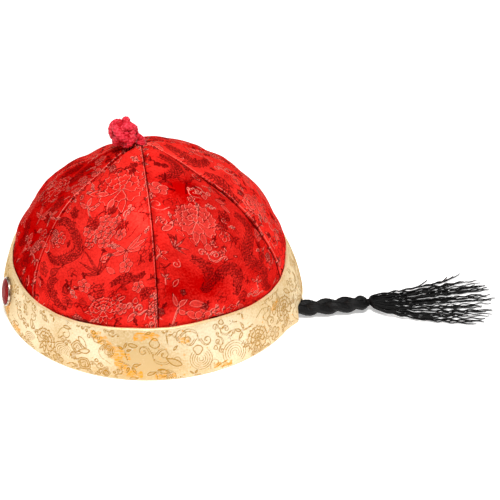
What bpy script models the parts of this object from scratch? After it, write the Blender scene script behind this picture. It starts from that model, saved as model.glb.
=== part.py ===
"""Round brocade cap with a plaited queue.

Six cloth gores make the crown. They meet at the top, where a button knot of cord is sewn, and
their lower edges are sewn inside an upright satin cuff. A red stone in a silver bezel is set on
the front of the cuff. A plait of black yarn passes under the rim at the back and ends in a tassel.

Frame: metres, +Z up, the rim stands on z = 0. The front faces -Y and the wearer's left is +X.
Azimuths are degrees round the cap from the front (-Y) towards +X.
"""
from collections import namedtuple

import bmesh
import bpy
import numpy as np

MM = 0.001

# Cuff, outside sizes
RIM_HALF_WIDTH = 97.8 * MM
RIM_HALF_LENGTH = 102.4 * MM
CUFF_TOP_HALF_WIDTH = 87.4 * MM
CUFF_TOP_HALF_LENGTH = 93.3 * MM
CUFF_TOP_SHIFT_Y = -2.5 * MM
CUFF_HEIGHT = 34.6 * MM
CUFF_BELLY = 1.4 * MM
CUFF_WALL = 2.2 * MM
HEM_WALL = 2.0 * MM
HEM_HEIGHT = 12.0 * MM
EDGE_ROUND = 0.9 * MM
CUFF_STEPS = 48

# The cuff's top edge is squarer than an oval: these corners are pushed out
Corner = namedtuple("Corner", "azimuth_deg push")
CUFF_CORNERS = (
    Corner(42, 2.2 * MM), Corner(138, 4.5 * MM), Corner(-138, 2.2 * MM), Corner(-42, 2.2 * MM),
)
CORNER_HALF_WIDTH_DEG = 36

# Crown
CROWN_RISE = 83.0 * MM
APEX_X = -5.0 * MM
APEX_Y = -5.5 * MM
APEX_HOLE_RADIUS = 3.0 * MM
CROWN_WALL = 1.8 * MM
CROWN_LAP = 8.0 * MM
SEAM_GAP = 0.3 * MM
CLOTH_CLEARANCE = 0.3 * MM
SEAM_VALLEY_DEPTH = 1.3 * MM
SEAM_VALLEY_WIDTH = 5.0 * MM
SEAM_VALLEY_START = 0.06
APEX_DIP_DEPTH = 2.0 * MM
APEX_DIP_START = 0.55
PUFF_POWER_ACROSS = 0.8
PUFF_POWER_UP = 0.6
GORE_COLUMNS = 12
GORE_ROWS = 20
GORE_ROW_LEAN = 1.15
NORMAL_STEP = 0.004

# Each gore starts at a seam and ends at the next one. Fullness is the exponent of its profile:
# 2 is a quarter ellipse, less is flatter, more is squarer. Puff is a share of CROWN_RISE, and
# crest tells how early in the gore the puff is highest: 1 is midway, less is nearer its start.
Gore = namedtuple("Gore", "seam_deg fullness_at_seam fullness_mid puff crest")
GORES = (
    Gore(-30, 1.48, 1.52, 0.015, 1.0),
    Gore(28, 1.90, 1.90, 0.050, 1.0),
    Gore(86.5, 2.30, 1.90, 0.055, 1.0),
    Gore(150, 1.57, 1.51, 0.040, 0.65),
    Gore(208, 1.53, 1.51, 0.010, 1.0),
    Gore(268, 1.50, 1.44, 0.010, 1.0),
)

# Soft folds and hollows of the empty crown. Heights are shares of the climb from cuff to apex,
# depth is a share of CROWN_RISE, outwards where positive, and drift is how far the fold turns
# round the cap from its low end to its high end.
Fold = namedtuple("Fold", "azimuth_deg drift_deg half_width_deg low high depth")
FOLDS = (
    Fold(101, -8, 15, 0.01, 0.34, -0.050),
    Fold(122, -4, 6, 0.00, 0.30, 0.028),
    Fold(72, 4, 12, 0.01, 0.30, -0.030),
    Fold(5, 8, 26, 0.12, 0.46, -0.035),
    Fold(158, 0, 7, 0.12, 0.85, 0.020),
    Fold(172, 0, 22, 0.35, 0.75, 0.008),
    Fold(-20, 0, 90, 0.45, 1.00, -0.014),
    Fold(244, 0, 40, 0.00, 0.56, 0.045),
    Fold(300, 0, 38, 0.00, 0.56, 0.045),
)

# Button knot
KNOT_CORE_RADIUS = 7.0 * MM
KNOT_CORD_RADIUS = 2.7 * MM
KNOT_WEAVE = 1.0 * MM
KNOT_LEAN = 8.0 * MM
KNOT_TILT_DEG = 14
KNOT_SPIN_DEG = 20
KNOT_NECK_RADIUS = 1.8 * MM
KNOT_NECK_FLARE = 2.0
KNOT_LEADS = 3
KNOT_BIGHTS = 4
KNOT_BIGHT_LATITUDE_DEG = 56
KNOT_FACES = 1200
KNOT_CORE_STATIONS = ((-1.0, 0.1), (-0.5, 0.85), (0.0, 1.0), (0.5, 0.85), (1.0, 0.1))

# Stone and bezel
JEWEL_AZIMUTH_DEG = 6
JEWEL_HEIGHT = 18.4 * MM
BEZEL_RADIUS = 9.9 * MM
BEZEL_WALL = 1.1 * MM
BEZEL_DEPTH = 0.8 * MM
BEZEL_FLOOR = 0.4 * MM
STONE_CLEARANCE = 0.15 * MM
STONE_HEIGHT = 1.9 * MM
STONE_GIRDLE = 0.7 * MM
STONE_CULET_SHARE = 0.92
STONE_TABLE_SHARE = 0.52
STONE_FACETS = 16

# Queue: a plait whose middle line runs through these points, then its tie and its tassel
QUEUE_DIAMETER = 10.5 * MM
QUEUE_POINTS_MM = (
    (40.6, 73.0, 6.0), (41.2, 80.0, 5.8), (42.0, 87.0, 5.7), (43.0, 95.0, 5.6),
    (44.0, 105.0, 5.6), (44.3, 116.0, 5.6), (44.4, 128.0, 5.6), (44.3, 138.5, 5.5),
)
QUEUE_SPACING = 2.0
ARCH_CLEARANCE = 1.1 * MM
ARCH_SIDE_CLEARANCE = 2.9 * MM
ARCH_SQUARENESS = 8
ARCH_FADE_POWER = 1.5
ARCH_BULGE = 5.0 * MM
ARCH_STEPS = 21
TIE_LENGTH = 3.4 * MM
TIE_RADIUS = 3.6 * MM
PIECE_CLEARANCE = 0.3 * MM
TASSEL_LENGTH = 86.0 * MM
TASSEL_HEAD_RADIUS = 3.4 * MM
TASSEL_HEAD_SIZES = (0.85, 1.0, 1.1, 1.15, 0.8)
TASSEL_FLOOR = 0.3 * MM
TASSEL_FACES = 1050

# Locks of the tassel: bearing from the plait's own line, reach and thickness as shares of
# TASSEL_LENGTH, and how many times wider than thick the lock lies
Lock = namedtuple("Lock", "bearing_deg reach thickness spread")
LOCKS = (
    Lock(-17, 0.70, 0.042, 1.5), Lock(-12, 0.88, 0.050, 1.5), Lock(-6, 0.95, 0.060, 1.5),
    Lock(0, 0.98, 0.066, 1.5), Lock(6, 1.00, 0.066, 1.5), Lock(12, 0.98, 0.060, 1.5),
    Lock(18, 1.00, 0.050, 1.5), Lock(23, 0.92, 0.042, 1.5),
)
LOCK_STATIONS = ((0.0, 0.75), (0.12, 0.95), (0.35, 1.0), (0.65, 0.85), (0.88, 0.55), (1.0, 0.2))
LOCK_SWING_AT_ROOT = 0.55
LOCK_SETTLED = 0.3


def material(name, colour, roughness, metallic=0.0):
    """A Principled material with one colour, given as linear red, green and blue."""
    made = bpy.data.materials.new(name)
    made.use_nodes = True
    shader = made.node_tree.nodes["Principled BSDF"]
    shader.inputs["Base Color"].default_value = (*colour, 1.0)
    shader.inputs["Roughness"].default_value = roughness
    shader.inputs["Metallic"].default_value = metallic
    return made


def link(name, mesh, made_of, smooth_deg=35):
    """Puts a mesh in the scene as a named object with its material."""
    mesh.materials.append(made_of)
    mesh.shade_smooth()
    mesh.set_sharp_from_angle(angle=np.radians(smooth_deg))
    piece = bpy.data.objects.new(name, mesh)
    bpy.context.collection.objects.link(piece)
    return piece


def mesh_from(name, points, faces):
    """A mesh from an array of points and a list of faces, with its normals made to point out."""
    mesh = bpy.data.meshes.new(name)
    mesh.from_pydata([tuple(point) for point in points], [], faces)
    shell = bmesh.new()
    shell.from_mesh(mesh)
    bmesh.ops.recalc_face_normals(shell, faces=shell.faces)
    shell.to_mesh(mesh)
    shell.free()
    return mesh


def ring_faces(rings, sides, closed_rings=False):
    """Quads between rings of points; the last ring joins the first one where closed_rings."""
    faces = []
    for ring in range(rings if closed_rings else rings - 1):
        here = ring * sides
        there = (ring + 1) % rings * sides
        for side in range(sides):
            after = (side + 1) % sides
            faces.append((here + side, here + after, there + after, there + side))
    return faces


def bell(distance):
    """1 at distance 0, falling smoothly to 0 at distance 1 and beyond."""
    reach = np.clip(np.abs(distance), 0, 1)
    return 0.5 + 0.5 * np.cos(np.pi * reach)


def unit(vectors):
    return vectors / np.linalg.norm(vectors, axis=-1, keepdims=True)


def queue_route():
    """The plait's middle line: a smooth curve through its own points, read every few millimetres."""
    points = np.array(QUEUE_POINTS_MM) * MM
    padded = np.vstack([2 * points[0] - points[1], points, 2 * points[-1] - points[-2]])
    fine = []
    for first, second, third, fourth in zip(padded, padded[1:], padded[2:], padded[3:]):
        share = np.linspace(0, 1, 20, endpoint=False)[:, None]
        fine.append(0.5 * (2 * second + (third - first) * share
                           + (2 * first - 5 * second + 4 * third - fourth) * share ** 2
                           + (3 * second - first - 3 * third + fourth) * share ** 3))
    fine = np.vstack(fine + [points[-1:]])
    along = np.concatenate([[0], np.cumsum(np.linalg.norm(np.diff(fine, axis=0), axis=1))])
    count = int(round(along[-1] / (QUEUE_SPACING * QUEUE_DIAMETER))) + 1
    stops = np.linspace(0, along[-1], count)
    return np.stack([np.interp(stops, along, fine[:, axis]) for axis in range(3)], axis=1)


def arch_azimuth():
    """Where the plait's line crosses the rim, as an azimuth in radians."""
    points = np.array(QUEUE_POINTS_MM) * MM
    outside = np.hypot(points[:, 0] / RIM_HALF_WIDTH, points[:, 1] / RIM_HALF_LENGTH)
    x = np.interp(1, outside, points[:, 0]) / RIM_HALF_WIDTH
    y = np.interp(1, outside, points[:, 1]) / RIM_HALF_LENGTH
    return np.arctan2(x, -y)


def cuff_point(azimuth, height, inset=0.0):
    """A point of the cuff at a height, inset from its outer face. The face leans in as it rises,
    with a slight belly. Where the plait passes, its foot lifts into a narrow arch, and the cloth
    round the arch is pushed out a little."""
    azimuth, height, inset = np.broadcast_arrays(azimuth, height, inset)
    aside = (azimuth - arch_azimuth()) * RIM_HALF_LENGTH
    narrow = np.exp(-(aside / (QUEUE_DIAMETER / 2 + ARCH_SIDE_CLEARANCE)) ** ARCH_SQUARENESS)
    fade = np.clip(1 - height / CUFF_HEIGHT, 0, 1) ** ARCH_FADE_POWER
    height = height + (QUEUE_DIAMETER + ARCH_CLEARANCE) * narrow * fade
    rise = height / CUFF_HEIGHT
    pushed = ARCH_BULGE * bell(aside / (2 * QUEUE_DIAMETER)) * np.clip(1 - rise, 0, 1)
    for corner in CUFF_CORNERS:
        away = (azimuth - np.radians(corner.azimuth_deg) + np.pi) % (2 * np.pi) - np.pi
        pushed = pushed + corner.push * bell(away / np.radians(CORNER_HALF_WIDTH_DEG)) * rise
    belly = CUFF_BELLY * np.sin(np.pi * np.clip(rise, 0, 1)) + pushed
    half_x = RIM_HALF_WIDTH + (CUFF_TOP_HALF_WIDTH - RIM_HALF_WIDTH) * rise + belly - inset
    half_y = RIM_HALF_LENGTH + (CUFF_TOP_HALF_LENGTH - RIM_HALF_LENGTH) * rise + belly - inset
    return np.stack([half_x * np.sin(azimuth), CUFF_TOP_SHIFT_Y * rise - half_y * np.cos(azimuth),
                     height], axis=-1)


def cuff_section():
    """The cuff's closed outline as (height, inset): outer face, top fold, inner face, hem, foot."""
    fold = CUFF_WALL / 2
    hem = CUFF_WALL + HEM_WALL
    outer = [(height, 0.0) for height in np.linspace(EDGE_ROUND, CUFF_HEIGHT - fold, 5)]
    turns = np.radians([45, 90, 135])
    top = [(CUFF_HEIGHT - fold + fold * np.sin(turn), fold - fold * np.cos(turn)) for turn in turns]
    inner = [(height, CUFF_WALL) for height in np.linspace(CUFF_HEIGHT - fold, HEM_HEIGHT + HEM_WALL, 4)]
    turned_up = [(HEM_HEIGHT, hem), (EDGE_ROUND, hem)]
    foot = [(0.0, hem - EDGE_ROUND), (0.0, EDGE_ROUND)]
    return np.array(outer + top + inner + turned_up + foot)


def make_cuff(satin):
    """The section carried round the cap, with closer steps at the arch."""
    middle = arch_azimuth()
    even = np.linspace(0, 2 * np.pi, CUFF_STEPS, endpoint=False)
    reach = (QUEUE_DIAMETER / 2 + 2 * ARCH_SIDE_CLEARANCE) / RIM_HALF_LENGTH
    even = even[np.abs(even - middle) > reach * 1.2]
    close = middle + np.linspace(-reach, reach, ARCH_STEPS)
    azimuths = np.sort(np.concatenate([even, close]))
    section = cuff_section()
    points = cuff_point(azimuths[:, None], section[None, :, 0], section[None, :, 1])
    faces = ring_faces(len(azimuths), len(section), closed_rings=True)
    link("cuff_band", mesh_from("cuff_band", points.reshape(-1, 3), faces), satin)


def round_table(azimuth, angles, values):
    """Reads a value that changes smoothly round the cap between the angles of a table."""
    angles = np.concatenate([angles - 2 * np.pi, angles, angles + 2 * np.pi])
    values = np.tile(values, 3)
    slot = np.searchsorted(angles, azimuth, side="right") - 1
    share = (azimuth - angles[slot]) / (angles[slot + 1] - angles[slot])
    share = 0.5 - 0.5 * np.cos(np.pi * share)
    return values[slot] * (1 - share) + values[slot + 1] * share


SEAMS = np.radians([gore.seam_deg for gore in GORES])
SEAMS_AFTER = np.append(SEAMS[1:], SEAMS[0] + 2 * np.pi)
FULLNESS_ANGLES = np.stack([SEAMS, (SEAMS + SEAMS_AFTER) / 2], axis=1).ravel()
FULLNESS = np.array([[gore.fullness_at_seam, gore.fullness_mid] for gore in GORES]).ravel()
TOP_ANGLE = np.arccos(APEX_HOLE_RADIUS / CUFF_TOP_HALF_WIDTH)


def crown_point(azimuth, climb):
    """The crown's outer face. Climb runs from 0 at the cuff's top edge to 1 at the hole under the
    knot, and from 0 down to -1 along the lap inside the cuff."""
    azimuth, climb = np.broadcast_arrays(azimuth, climb)
    climbed = np.clip(climb, 0, 1)
    lap_height = CUFF_HEIGHT + np.clip(climb, -1, 0) * CROWN_LAP
    foot = cuff_point(azimuth, lap_height, CUFF_WALL + CLOTH_CLEARANCE)
    full = round_table(azimuth, FULLNESS_ANGLES, FULLNESS)
    spread = np.cos(climbed * TOP_ANGLE)
    rise = np.clip(1 - spread ** full, 0, None) ** (1 / full)
    apex = np.array([APEX_X, APEX_Y])
    plan = foot[..., :2] * spread[..., None] + apex * (1 - spread[..., None])

    turned = (azimuth - SEAMS[0]) % (2 * np.pi) + SEAMS[0]
    gore = np.searchsorted(SEAMS, turned, side="right") - 1
    across = (turned - SEAMS[gore]) / (SEAMS_AFTER[gore] - SEAMS[gore])
    puff = np.array([gore.puff for gore in GORES])[gore]
    crest = np.array([gore.crest for gore in GORES])[gore]
    dome = np.sin(np.pi * np.clip(across, 0, 1) ** crest) ** PUFF_POWER_ACROSS
    swell = CROWN_RISE * puff * dome * np.sin(np.pi * climbed) ** PUFF_POWER_UP

    radius = np.linalg.norm(plan - apex, axis=-1)
    to_seam = np.minimum(across, 1 - across) * (SEAMS_AFTER[gore] - SEAMS[gore]) * radius
    valley = SEAM_VALLEY_DEPTH * bell(to_seam / SEAM_VALLEY_WIDTH)
    fade = np.clip(climbed / SEAM_VALLEY_START, 0, 1) * np.clip(radius / (2 * SEAM_VALLEY_WIDTH), 0, 1)
    swell = swell - valley * fade
    dip = (climbed - APEX_DIP_START) / (1 - APEX_DIP_START)
    swell = swell - APEX_DIP_DEPTH * bell(2 * dip - 1)

    for fold in FOLDS:
        share = (climbed - fold.low) / (fold.high - fold.low)
        line = np.radians(fold.azimuth_deg + fold.drift_deg * share)
        aside = (azimuth - line + np.pi) % (2 * np.pi) - np.pi
        window = bell(2 * share - 1)
        swell = swell + CROWN_RISE * fold.depth * bell(aside / np.radians(fold.half_width_deg)) * window

    lean = climbed * np.pi / 2
    outward = np.stack([np.sin(azimuth) * np.cos(lean), -np.cos(azimuth) * np.cos(lean),
                        np.sin(lean)], axis=-1)
    point = np.concatenate([plan, (foot[..., 2] + CROWN_RISE * rise)[..., None]], axis=-1)
    return point + outward * swell[..., None]


def crown_normal(azimuth, climb, side=0):
    """Unit normal of the outer face, by small differences. Side -1 or 1 looks only that way."""
    before = NORMAL_STEP if side <= 0 else 0.0
    after = NORMAL_STEP if side >= 0 else 0.0
    along = crown_point(azimuth + after, climb) - crown_point(azimuth - before, climb)
    above = np.minimum(climb + NORMAL_STEP, 1)
    up = crown_point(azimuth, above) - crown_point(azimuth, climb - NORMAL_STEP)
    return unit(np.cross(along, up))


def gore_climbs():
    """Rows of a gore: two along the lap, then closer near the cuff than near the apex."""
    share = np.linspace(0, 1, GORE_ROWS)
    return np.concatenate([[-1.0, -0.5], share ** GORE_ROW_LEAN])


def make_gore(number, brocade):
    """One gore as a cloth wall. At a seam both neighbours share one normal, and each edge keeps
    half of SEAM_GAP to the seam's line, so the walls lie face to face."""
    start, end = SEAMS[number], SEAMS_AFTER[number]
    climbs = gore_climbs()[:, None]
    radius = np.linalg.norm(crown_point(start, climbs)[..., :2] - [APEX_X, APEX_Y], axis=-1)
    edge = SEAM_GAP / 2 / radius
    share = 0.5 - 0.5 * np.cos(np.pi * np.linspace(0, 1, GORE_COLUMNS + 1))[None, :]
    azimuth = (start + edge) * (1 - share) + (end - edge) * share
    outer = crown_point(azimuth, climbs)
    normal = crown_normal(azimuth, climbs)
    for column, seam in ((0, start), (-1, end)):
        shared = unit(crown_normal(seam, climbs[:, 0], -1) + crown_normal(seam, climbs[:, 0], 1))
        normal[:, column] = shared
    inner = outer - CROWN_WALL * normal

    rows, columns = azimuth.shape
    outline = ([(row, 0) for row in range(rows)] + [(rows - 1, col) for col in range(1, columns)]
               + [(row, columns - 1) for row in range(rows - 2, -1, -1)]
               + [(0, col) for col in range(columns - 2, 0, -1)])
    inside = rows * columns
    faces = []
    for row in range(rows - 1):
        for col in range(columns - 1):
            corner = row * columns + col
            quad = (corner, corner + 1, corner + columns + 1, corner + columns)
            faces.append(quad)
            faces.append(tuple(inside + index for index in reversed(quad)))
    for (row_a, col_a), (row_b, col_b) in zip(outline, outline[1:] + outline[:1]):
        first = row_a * columns + col_a
        second = row_b * columns + col_b
        faces.append((first, second, inside + second, inside + first))
    points = np.concatenate([outer.reshape(-1, 3), inner.reshape(-1, 3)])
    name = f"crown_gore_{number + 1}"
    link(name, mesh_from(name, points, faces), brocade)


def frames_along(path):
    """Unit side and up vectors square to a path, carried along it without twist."""
    ahead = unit(np.gradient(path, axis=0))
    side = np.zeros_like(path)
    start = np.cross(ahead[0], [0.0, 0.0, 1.0])
    if np.linalg.norm(start) < 0.1:
        start = np.cross(ahead[0], [1.0, 0.0, 0.0])
    side[0] = start / np.linalg.norm(start)
    for step in range(1, len(path)):
        carried = side[step - 1] - ahead[step] * np.dot(side[step - 1], ahead[step])
        side[step] = carried / np.linalg.norm(carried)
    return side, np.cross(side, ahead)


def tube(path, half_widths, half_heights, sides):
    """Points and faces of a closed tube with an elliptic section and flat ends."""
    side, up = frames_along(path)
    turn = np.linspace(0, 2 * np.pi, sides, endpoint=False)
    across = half_widths[:, None, None] * np.cos(turn)[None, :, None] * side[:, None, :]
    above = half_heights[:, None, None] * np.sin(turn)[None, :, None] * up[:, None, :]
    points = (path[:, None, :] + across + above).reshape(-1, 3)
    faces = ring_faces(len(path), sides)
    faces.append(tuple(range(sides)))
    faces.append(tuple(range(len(points) - sides, len(points))))
    return points, faces


def joined(parts):
    """Several point and face lists as one."""
    points, faces, offset = [], [], 0
    for part_points, part_faces in parts:
        points.append(part_points)
        faces += [tuple(index + offset for index in face) for face in part_faces]
        offset += len(part_points)
    return np.concatenate(points), faces


def fuse(name, parts, voxel, face_count, made_of):
    """Overlapping closed tubes fused into one solid, then thinned to about face_count faces."""
    points, faces = joined(parts)
    piece = link(name, mesh_from(name, points, faces), made_of, smooth_deg=60)
    remesh = piece.modifiers.new("Fuse", "REMESH")
    remesh.mode = "VOXEL"
    remesh.voxel_size = voxel
    depsgraph = bpy.context.evaluated_depsgraph_get()
    found = len(piece.evaluated_get(depsgraph).data.loop_triangles)
    thin = piece.modifiers.new("Thin", "DECIMATE")
    thin.ratio = min(1.0, face_count / found)


def make_knot(cord):
    """A Turk's head on a ball: the cord laps KNOT_LEADS times round while it swings KNOT_BIGHTS
    times between the bights, over and under itself. A short neck holds it to the apex."""
    reach = CUFF_TOP_HALF_LENGTH - CUFF_WALL - CLOTH_CLEARANCE - CUFF_TOP_SHIFT_Y + APEX_Y
    climb = np.arccos(KNOT_LEAN / reach) / TOP_ANGLE
    seat = crown_point(0.0, climb)
    outward = crown_normal(0.0, climb)
    ball = KNOT_CORE_RADIUS + KNOT_WEAVE + KNOT_CORD_RADIUS
    centre = seat + outward * (ball + CLOTH_CLEARANCE)

    turn = np.linspace(0, 2 * np.pi, 193)[:-1]
    longitude = KNOT_LEADS * turn + np.radians(KNOT_SPIN_DEG)
    latitude = np.radians(KNOT_BIGHT_LATITUDE_DEG) * np.cos(KNOT_BIGHTS * turn)
    radius = KNOT_CORE_RADIUS + KNOT_WEAVE * np.sin(2 * KNOT_BIGHTS * turn)
    local = np.stack([radius * np.cos(latitude) * np.cos(longitude),
                      radius * np.cos(latitude) * np.sin(longitude), radius * np.sin(latitude)], axis=1)
    tilt = np.radians(KNOT_TILT_DEG)
    tipped = np.stack([local[:, 0], local[:, 1] * np.cos(tilt) - local[:, 2] * np.sin(tilt),
                       local[:, 1] * np.sin(tilt) + local[:, 2] * np.cos(tilt)], axis=1)
    loop = centre + tipped
    loop = np.vstack([loop, loop[:1]])
    thick = np.full(len(loop), KNOT_CORD_RADIUS)
    lead = tube(loop, thick, thick, 8)

    upward = np.array([0.0, 0.0, 1.0])
    foot = np.array([APEX_X, APEX_Y, CUFF_HEIGHT + CROWN_RISE + CLOTH_CLEARANCE])
    rise = 2 * KNOT_NECK_RADIUS * upward
    neck = np.array([foot, foot + rise, (foot + centre) / 2 + rise, centre])
    neck_thick = KNOT_NECK_RADIUS * np.array([KNOT_NECK_FLARE, 1.0, 1.0, 1.0])
    stations = np.array(KNOT_CORE_STATIONS)
    core_path = centre + KNOT_CORE_RADIUS * stations[:, :1] * upward
    core_thick = KNOT_CORE_RADIUS * stations[:, 1]
    parts = [lead, tube(neck, neck_thick, neck_thick, 10), tube(core_path, core_thick, core_thick, 12)]
    fuse("button_knot", parts, KNOT_CORD_RADIUS / 4, KNOT_FACES, cord)


def jewel_frame():
    """Centre on the cuff's face, and the jewel's right, up and outward directions. Outward is the
    face's own normal there, so the jewel leans as the cuff does."""
    azimuth = np.radians(JEWEL_AZIMUTH_DEG)
    step = NORMAL_STEP * CUFF_HEIGHT
    before, after = azimuth - NORMAL_STEP, azimuth + NORMAL_STEP
    across = cuff_point(after, JEWEL_HEIGHT) - cuff_point(before, JEWEL_HEIGHT)
    rising = cuff_point(azimuth, JEWEL_HEIGHT + step) - cuff_point(azimuth, JEWEL_HEIGHT - step)
    right = unit(across)
    outward = unit(np.cross(across, rising))
    return cuff_point(azimuth, JEWEL_HEIGHT), right, np.cross(outward, right), outward


def on_cuff(points, outward):
    """Moves points along the jewel's axis until they lie CLOTH_CLEARANCE outside the cuff."""
    for _ in range(12):
        height = np.clip(points[:, 2], 0, CUFF_HEIGHT)
        inset = points[:, 1] - CUFF_TOP_SHIFT_Y * height / CUFF_HEIGHT
        azimuth = np.arctan2(points[:, 0] / RIM_HALF_WIDTH, -inset / RIM_HALF_LENGTH)
        face = cuff_point(azimuth, height)
        off = np.hypot(points[:, 0], points[:, 1]) - np.hypot(face[:, 0], face[:, 1])
        points = points + outward * (CLOTH_CLEARANCE - off)[:, None]
    return points


def make_bezel(silver):
    """A round cup whose back follows the cuff. Its wall closes round the stone's girdle. Gives back
    how far outside the jewel's centre the cup's floor is."""
    centre, right, up, outward = jewel_frame()
    turn = np.linspace(0, 2 * np.pi, 28, endpoint=False)
    around = np.cos(turn)[:, None] * right + np.sin(turn)[:, None] * up
    seat = BEZEL_RADIUS - BEZEL_WALL
    back = [on_cuff(centre + around * radius, outward) for radius in (seat * 0.5, BEZEL_RADIUS)]
    deepest = max(float(np.max((ring - centre) @ outward)) for ring in back)
    lip = deepest + BEZEL_FLOOR + BEZEL_DEPTH
    rings = [back[0], back[1]]
    for radius, height in ((BEZEL_RADIUS, lip - BEZEL_WALL / 2), (BEZEL_RADIUS - BEZEL_WALL / 2, lip),
                           (seat, lip - BEZEL_WALL / 2), (seat, deepest + BEZEL_FLOOR)):
        rings.append(centre + around * radius + outward * height)
    points = np.concatenate(rings)
    sides = len(turn)
    faces = ring_faces(len(rings), sides)
    faces.append(tuple(range(sides)))
    faces.append(tuple(range(len(points) - sides, len(points))))
    link("jewel_setting", mesh_from("jewel_setting", points, faces), silver)
    return deepest + BEZEL_FLOOR


def make_stone(glass, floor):
    """A round cut stone: flat back, girdle, a ring of kite facets and an octagonal table."""
    centre, right, up, outward = jewel_frame()
    base = centre + outward * (floor + STONE_CLEARANCE)
    radius = BEZEL_RADIUS - BEZEL_WALL - STONE_CLEARANCE
    turn = np.linspace(0, 2 * np.pi, STONE_FACETS, endpoint=False)
    half = turn[::2]
    between = half + np.pi / len(half)

    def ring(share, height, angles):
        around = np.cos(angles)[:, None] * right + np.sin(angles)[:, None] * up
        return base + radius * share * around + outward * height

    rings = [ring(STONE_CULET_SHARE, 0.0, turn), ring(1.0, STONE_GIRDLE / 2, turn),
             ring(1.0, STONE_GIRDLE, turn)]
    crown_height = STONE_HEIGHT - STONE_GIRDLE
    middle = ring((1 + STONE_TABLE_SHARE) / 2, STONE_GIRDLE + 0.7 * crown_height, between)
    table = ring(STONE_TABLE_SHARE, STONE_HEIGHT, half)
    points = np.concatenate(rings + [middle, table])
    faces = ring_faces(len(rings), STONE_FACETS)
    faces.append(tuple(range(STONE_FACETS)))
    girdle = (len(rings) - 1) * STONE_FACETS
    kites = girdle + STONE_FACETS
    tops = kites + len(half)
    for facet in range(len(half)):
        corner = girdle + 2 * facet
        next_corner = girdle + (2 * facet + 1) % STONE_FACETS
        far_corner = girdle + (2 * facet + 2) % STONE_FACETS
        after = (facet + 1) % len(half)
        faces.append((corner, next_corner, kites + facet))
        faces.append((next_corner, far_corner, kites + facet))
        faces.append((corner, kites + facet, tops + facet))
        faces.append((far_corner, tops + after, kites + facet))
        faces.append((tops + facet, kites + facet, tops + after))
    faces.append(tuple(range(tops, tops + len(half))))
    link("jewel_stone", mesh_from("jewel_stone", points, faces), glass, smooth_deg=5)


def make_queue(yarn):
    """The plait's outer form: a round tube along its route."""
    route = queue_route()
    curve = bpy.data.curves.new("queue_braid", "CURVE")
    curve.dimensions = "3D"
    curve.bevel_depth = QUEUE_DIAMETER / 2
    curve.bevel_resolution = 3
    curve.use_fill_caps = True
    spline = curve.splines.new("POLY")
    spline.points.add(len(route) - 1)
    spline.points.foreach_set("co", np.column_stack([route, np.ones(len(route))]).ravel())
    curve.materials.append(yarn)
    piece = bpy.data.objects.new("queue_braid", curve)
    bpy.context.collection.objects.link(piece)
    return route


def make_tie(route, thread):
    """Thread wound round the end of the plait, a barrel with three turns showing."""
    ahead = unit(route[-1] - route[-2])
    start = route[-1] + ahead * PIECE_CLEARANCE
    steps = np.linspace(0, 1, 7)
    swell = np.where(np.arange(7) % 2 == 1, 1.0, 0.86)
    path = start + ahead * TIE_LENGTH * steps[:, None]
    points, faces = tube(path, TIE_RADIUS * swell, TIE_RADIUS * swell, 14)
    link("queue_tie", mesh_from("queue_tie", points, faces), thread, smooth_deg=60)
    return path[-1] + ahead * PIECE_CLEARANCE, ahead


def make_tassel(start, ahead, yarn):
    """Locks of yarn fanned out on the ground from one head, fused to it."""
    side = unit(np.cross(ahead, [0.0, 0.0, 1.0]))
    head_steps = np.linspace(0, 2, len(TASSEL_HEAD_SIZES))
    head_path = start + ahead * TASSEL_HEAD_RADIUS * head_steps[:, None]
    head_size = TASSEL_HEAD_RADIUS * np.array(TASSEL_HEAD_SIZES)
    parts = [tube(head_path, head_size, head_size, 12)]
    root = start + ahead * TASSEL_HEAD_RADIUS
    for lock in LOCKS:
        bearing = np.radians(lock.bearing_deg)
        stations = np.array(LOCK_STATIONS)
        reach = TASSEL_LENGTH * lock.reach - TASSEL_HEAD_RADIUS
        thick = TASSEL_LENGTH * lock.thickness * stations[:, 1]
        along = reach * stations[:, 0]
        opened = LOCK_SWING_AT_ROOT + (1 - LOCK_SWING_AT_ROOT) * stations[:, 0]
        swing = np.sin(bearing) * along * opened
        path = root + ahead * (np.cos(bearing) * along)[:, None] + side * swing[:, None]
        settle = np.clip(stations[:, 0] / LOCK_SETTLED, 0, 1)
        path[:, 2] = root[2] * (1 - settle) + (TASSEL_FLOOR + thick) * settle
        path[:, 2] = np.maximum(path[:, 2], TASSEL_FLOOR + thick)
        parts.append(tube(path, thick * lock.spread, thick, 10))
    fuse("queue_tassel", parts, TASSEL_LENGTH / 80, TASSEL_FACES, yarn)


def main():
    for leftover in list(bpy.data.objects):
        bpy.data.objects.remove(leftover, do_unlink=True)
    brocade = material("red brocade", (0.78, 0.014, 0.010), 0.42)
    satin = material("ivory satin", (0.83, 0.62, 0.38), 0.45)
    silk_cord = material("crimson cord", (0.55, 0.008, 0.020), 0.6)
    silver = material("silver bezel", (0.80, 0.78, 0.74), 0.25, 1.0)
    glass = material("red glass", (0.22, 0.003, 0.006), 0.06)
    yarn = material("black yarn", (0.012, 0.010, 0.010), 0.7)
    thread = material("black thread", (0.012, 0.010, 0.010), 0.75)
    yarn_ends = material("black yarn ends", (0.012, 0.010, 0.010), 0.7)

    make_cuff(satin)
    for number in range(len(GORES)):
        make_gore(number, brocade)
    make_knot(silk_cord)
    floor = make_bezel(silver)
    make_stone(glass, floor)
    route = make_queue(yarn)
    tassel_start, ahead = make_tie(route, thread)
    make_tassel(tassel_start, ahead, yarn_ends)


main()
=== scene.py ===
# %% [markdown]
# # A round brocade cap with a plaited queue
# The cap is six gores of red brocade sewn into an upright ivory cuff. A knotted cord button sits
# on top, a red stone in front, and a black yarn plait with a tassel at the back. The solids give
# the size of every piece. This lesson dresses them: each cell makes one piece of the real cap.
# Lengths are metres, the rim stands on z = 0, the front faces -Y and the wearer's left is +X.

import bpy
import numpy as np
from mathutils import Matrix, Vector


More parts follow.
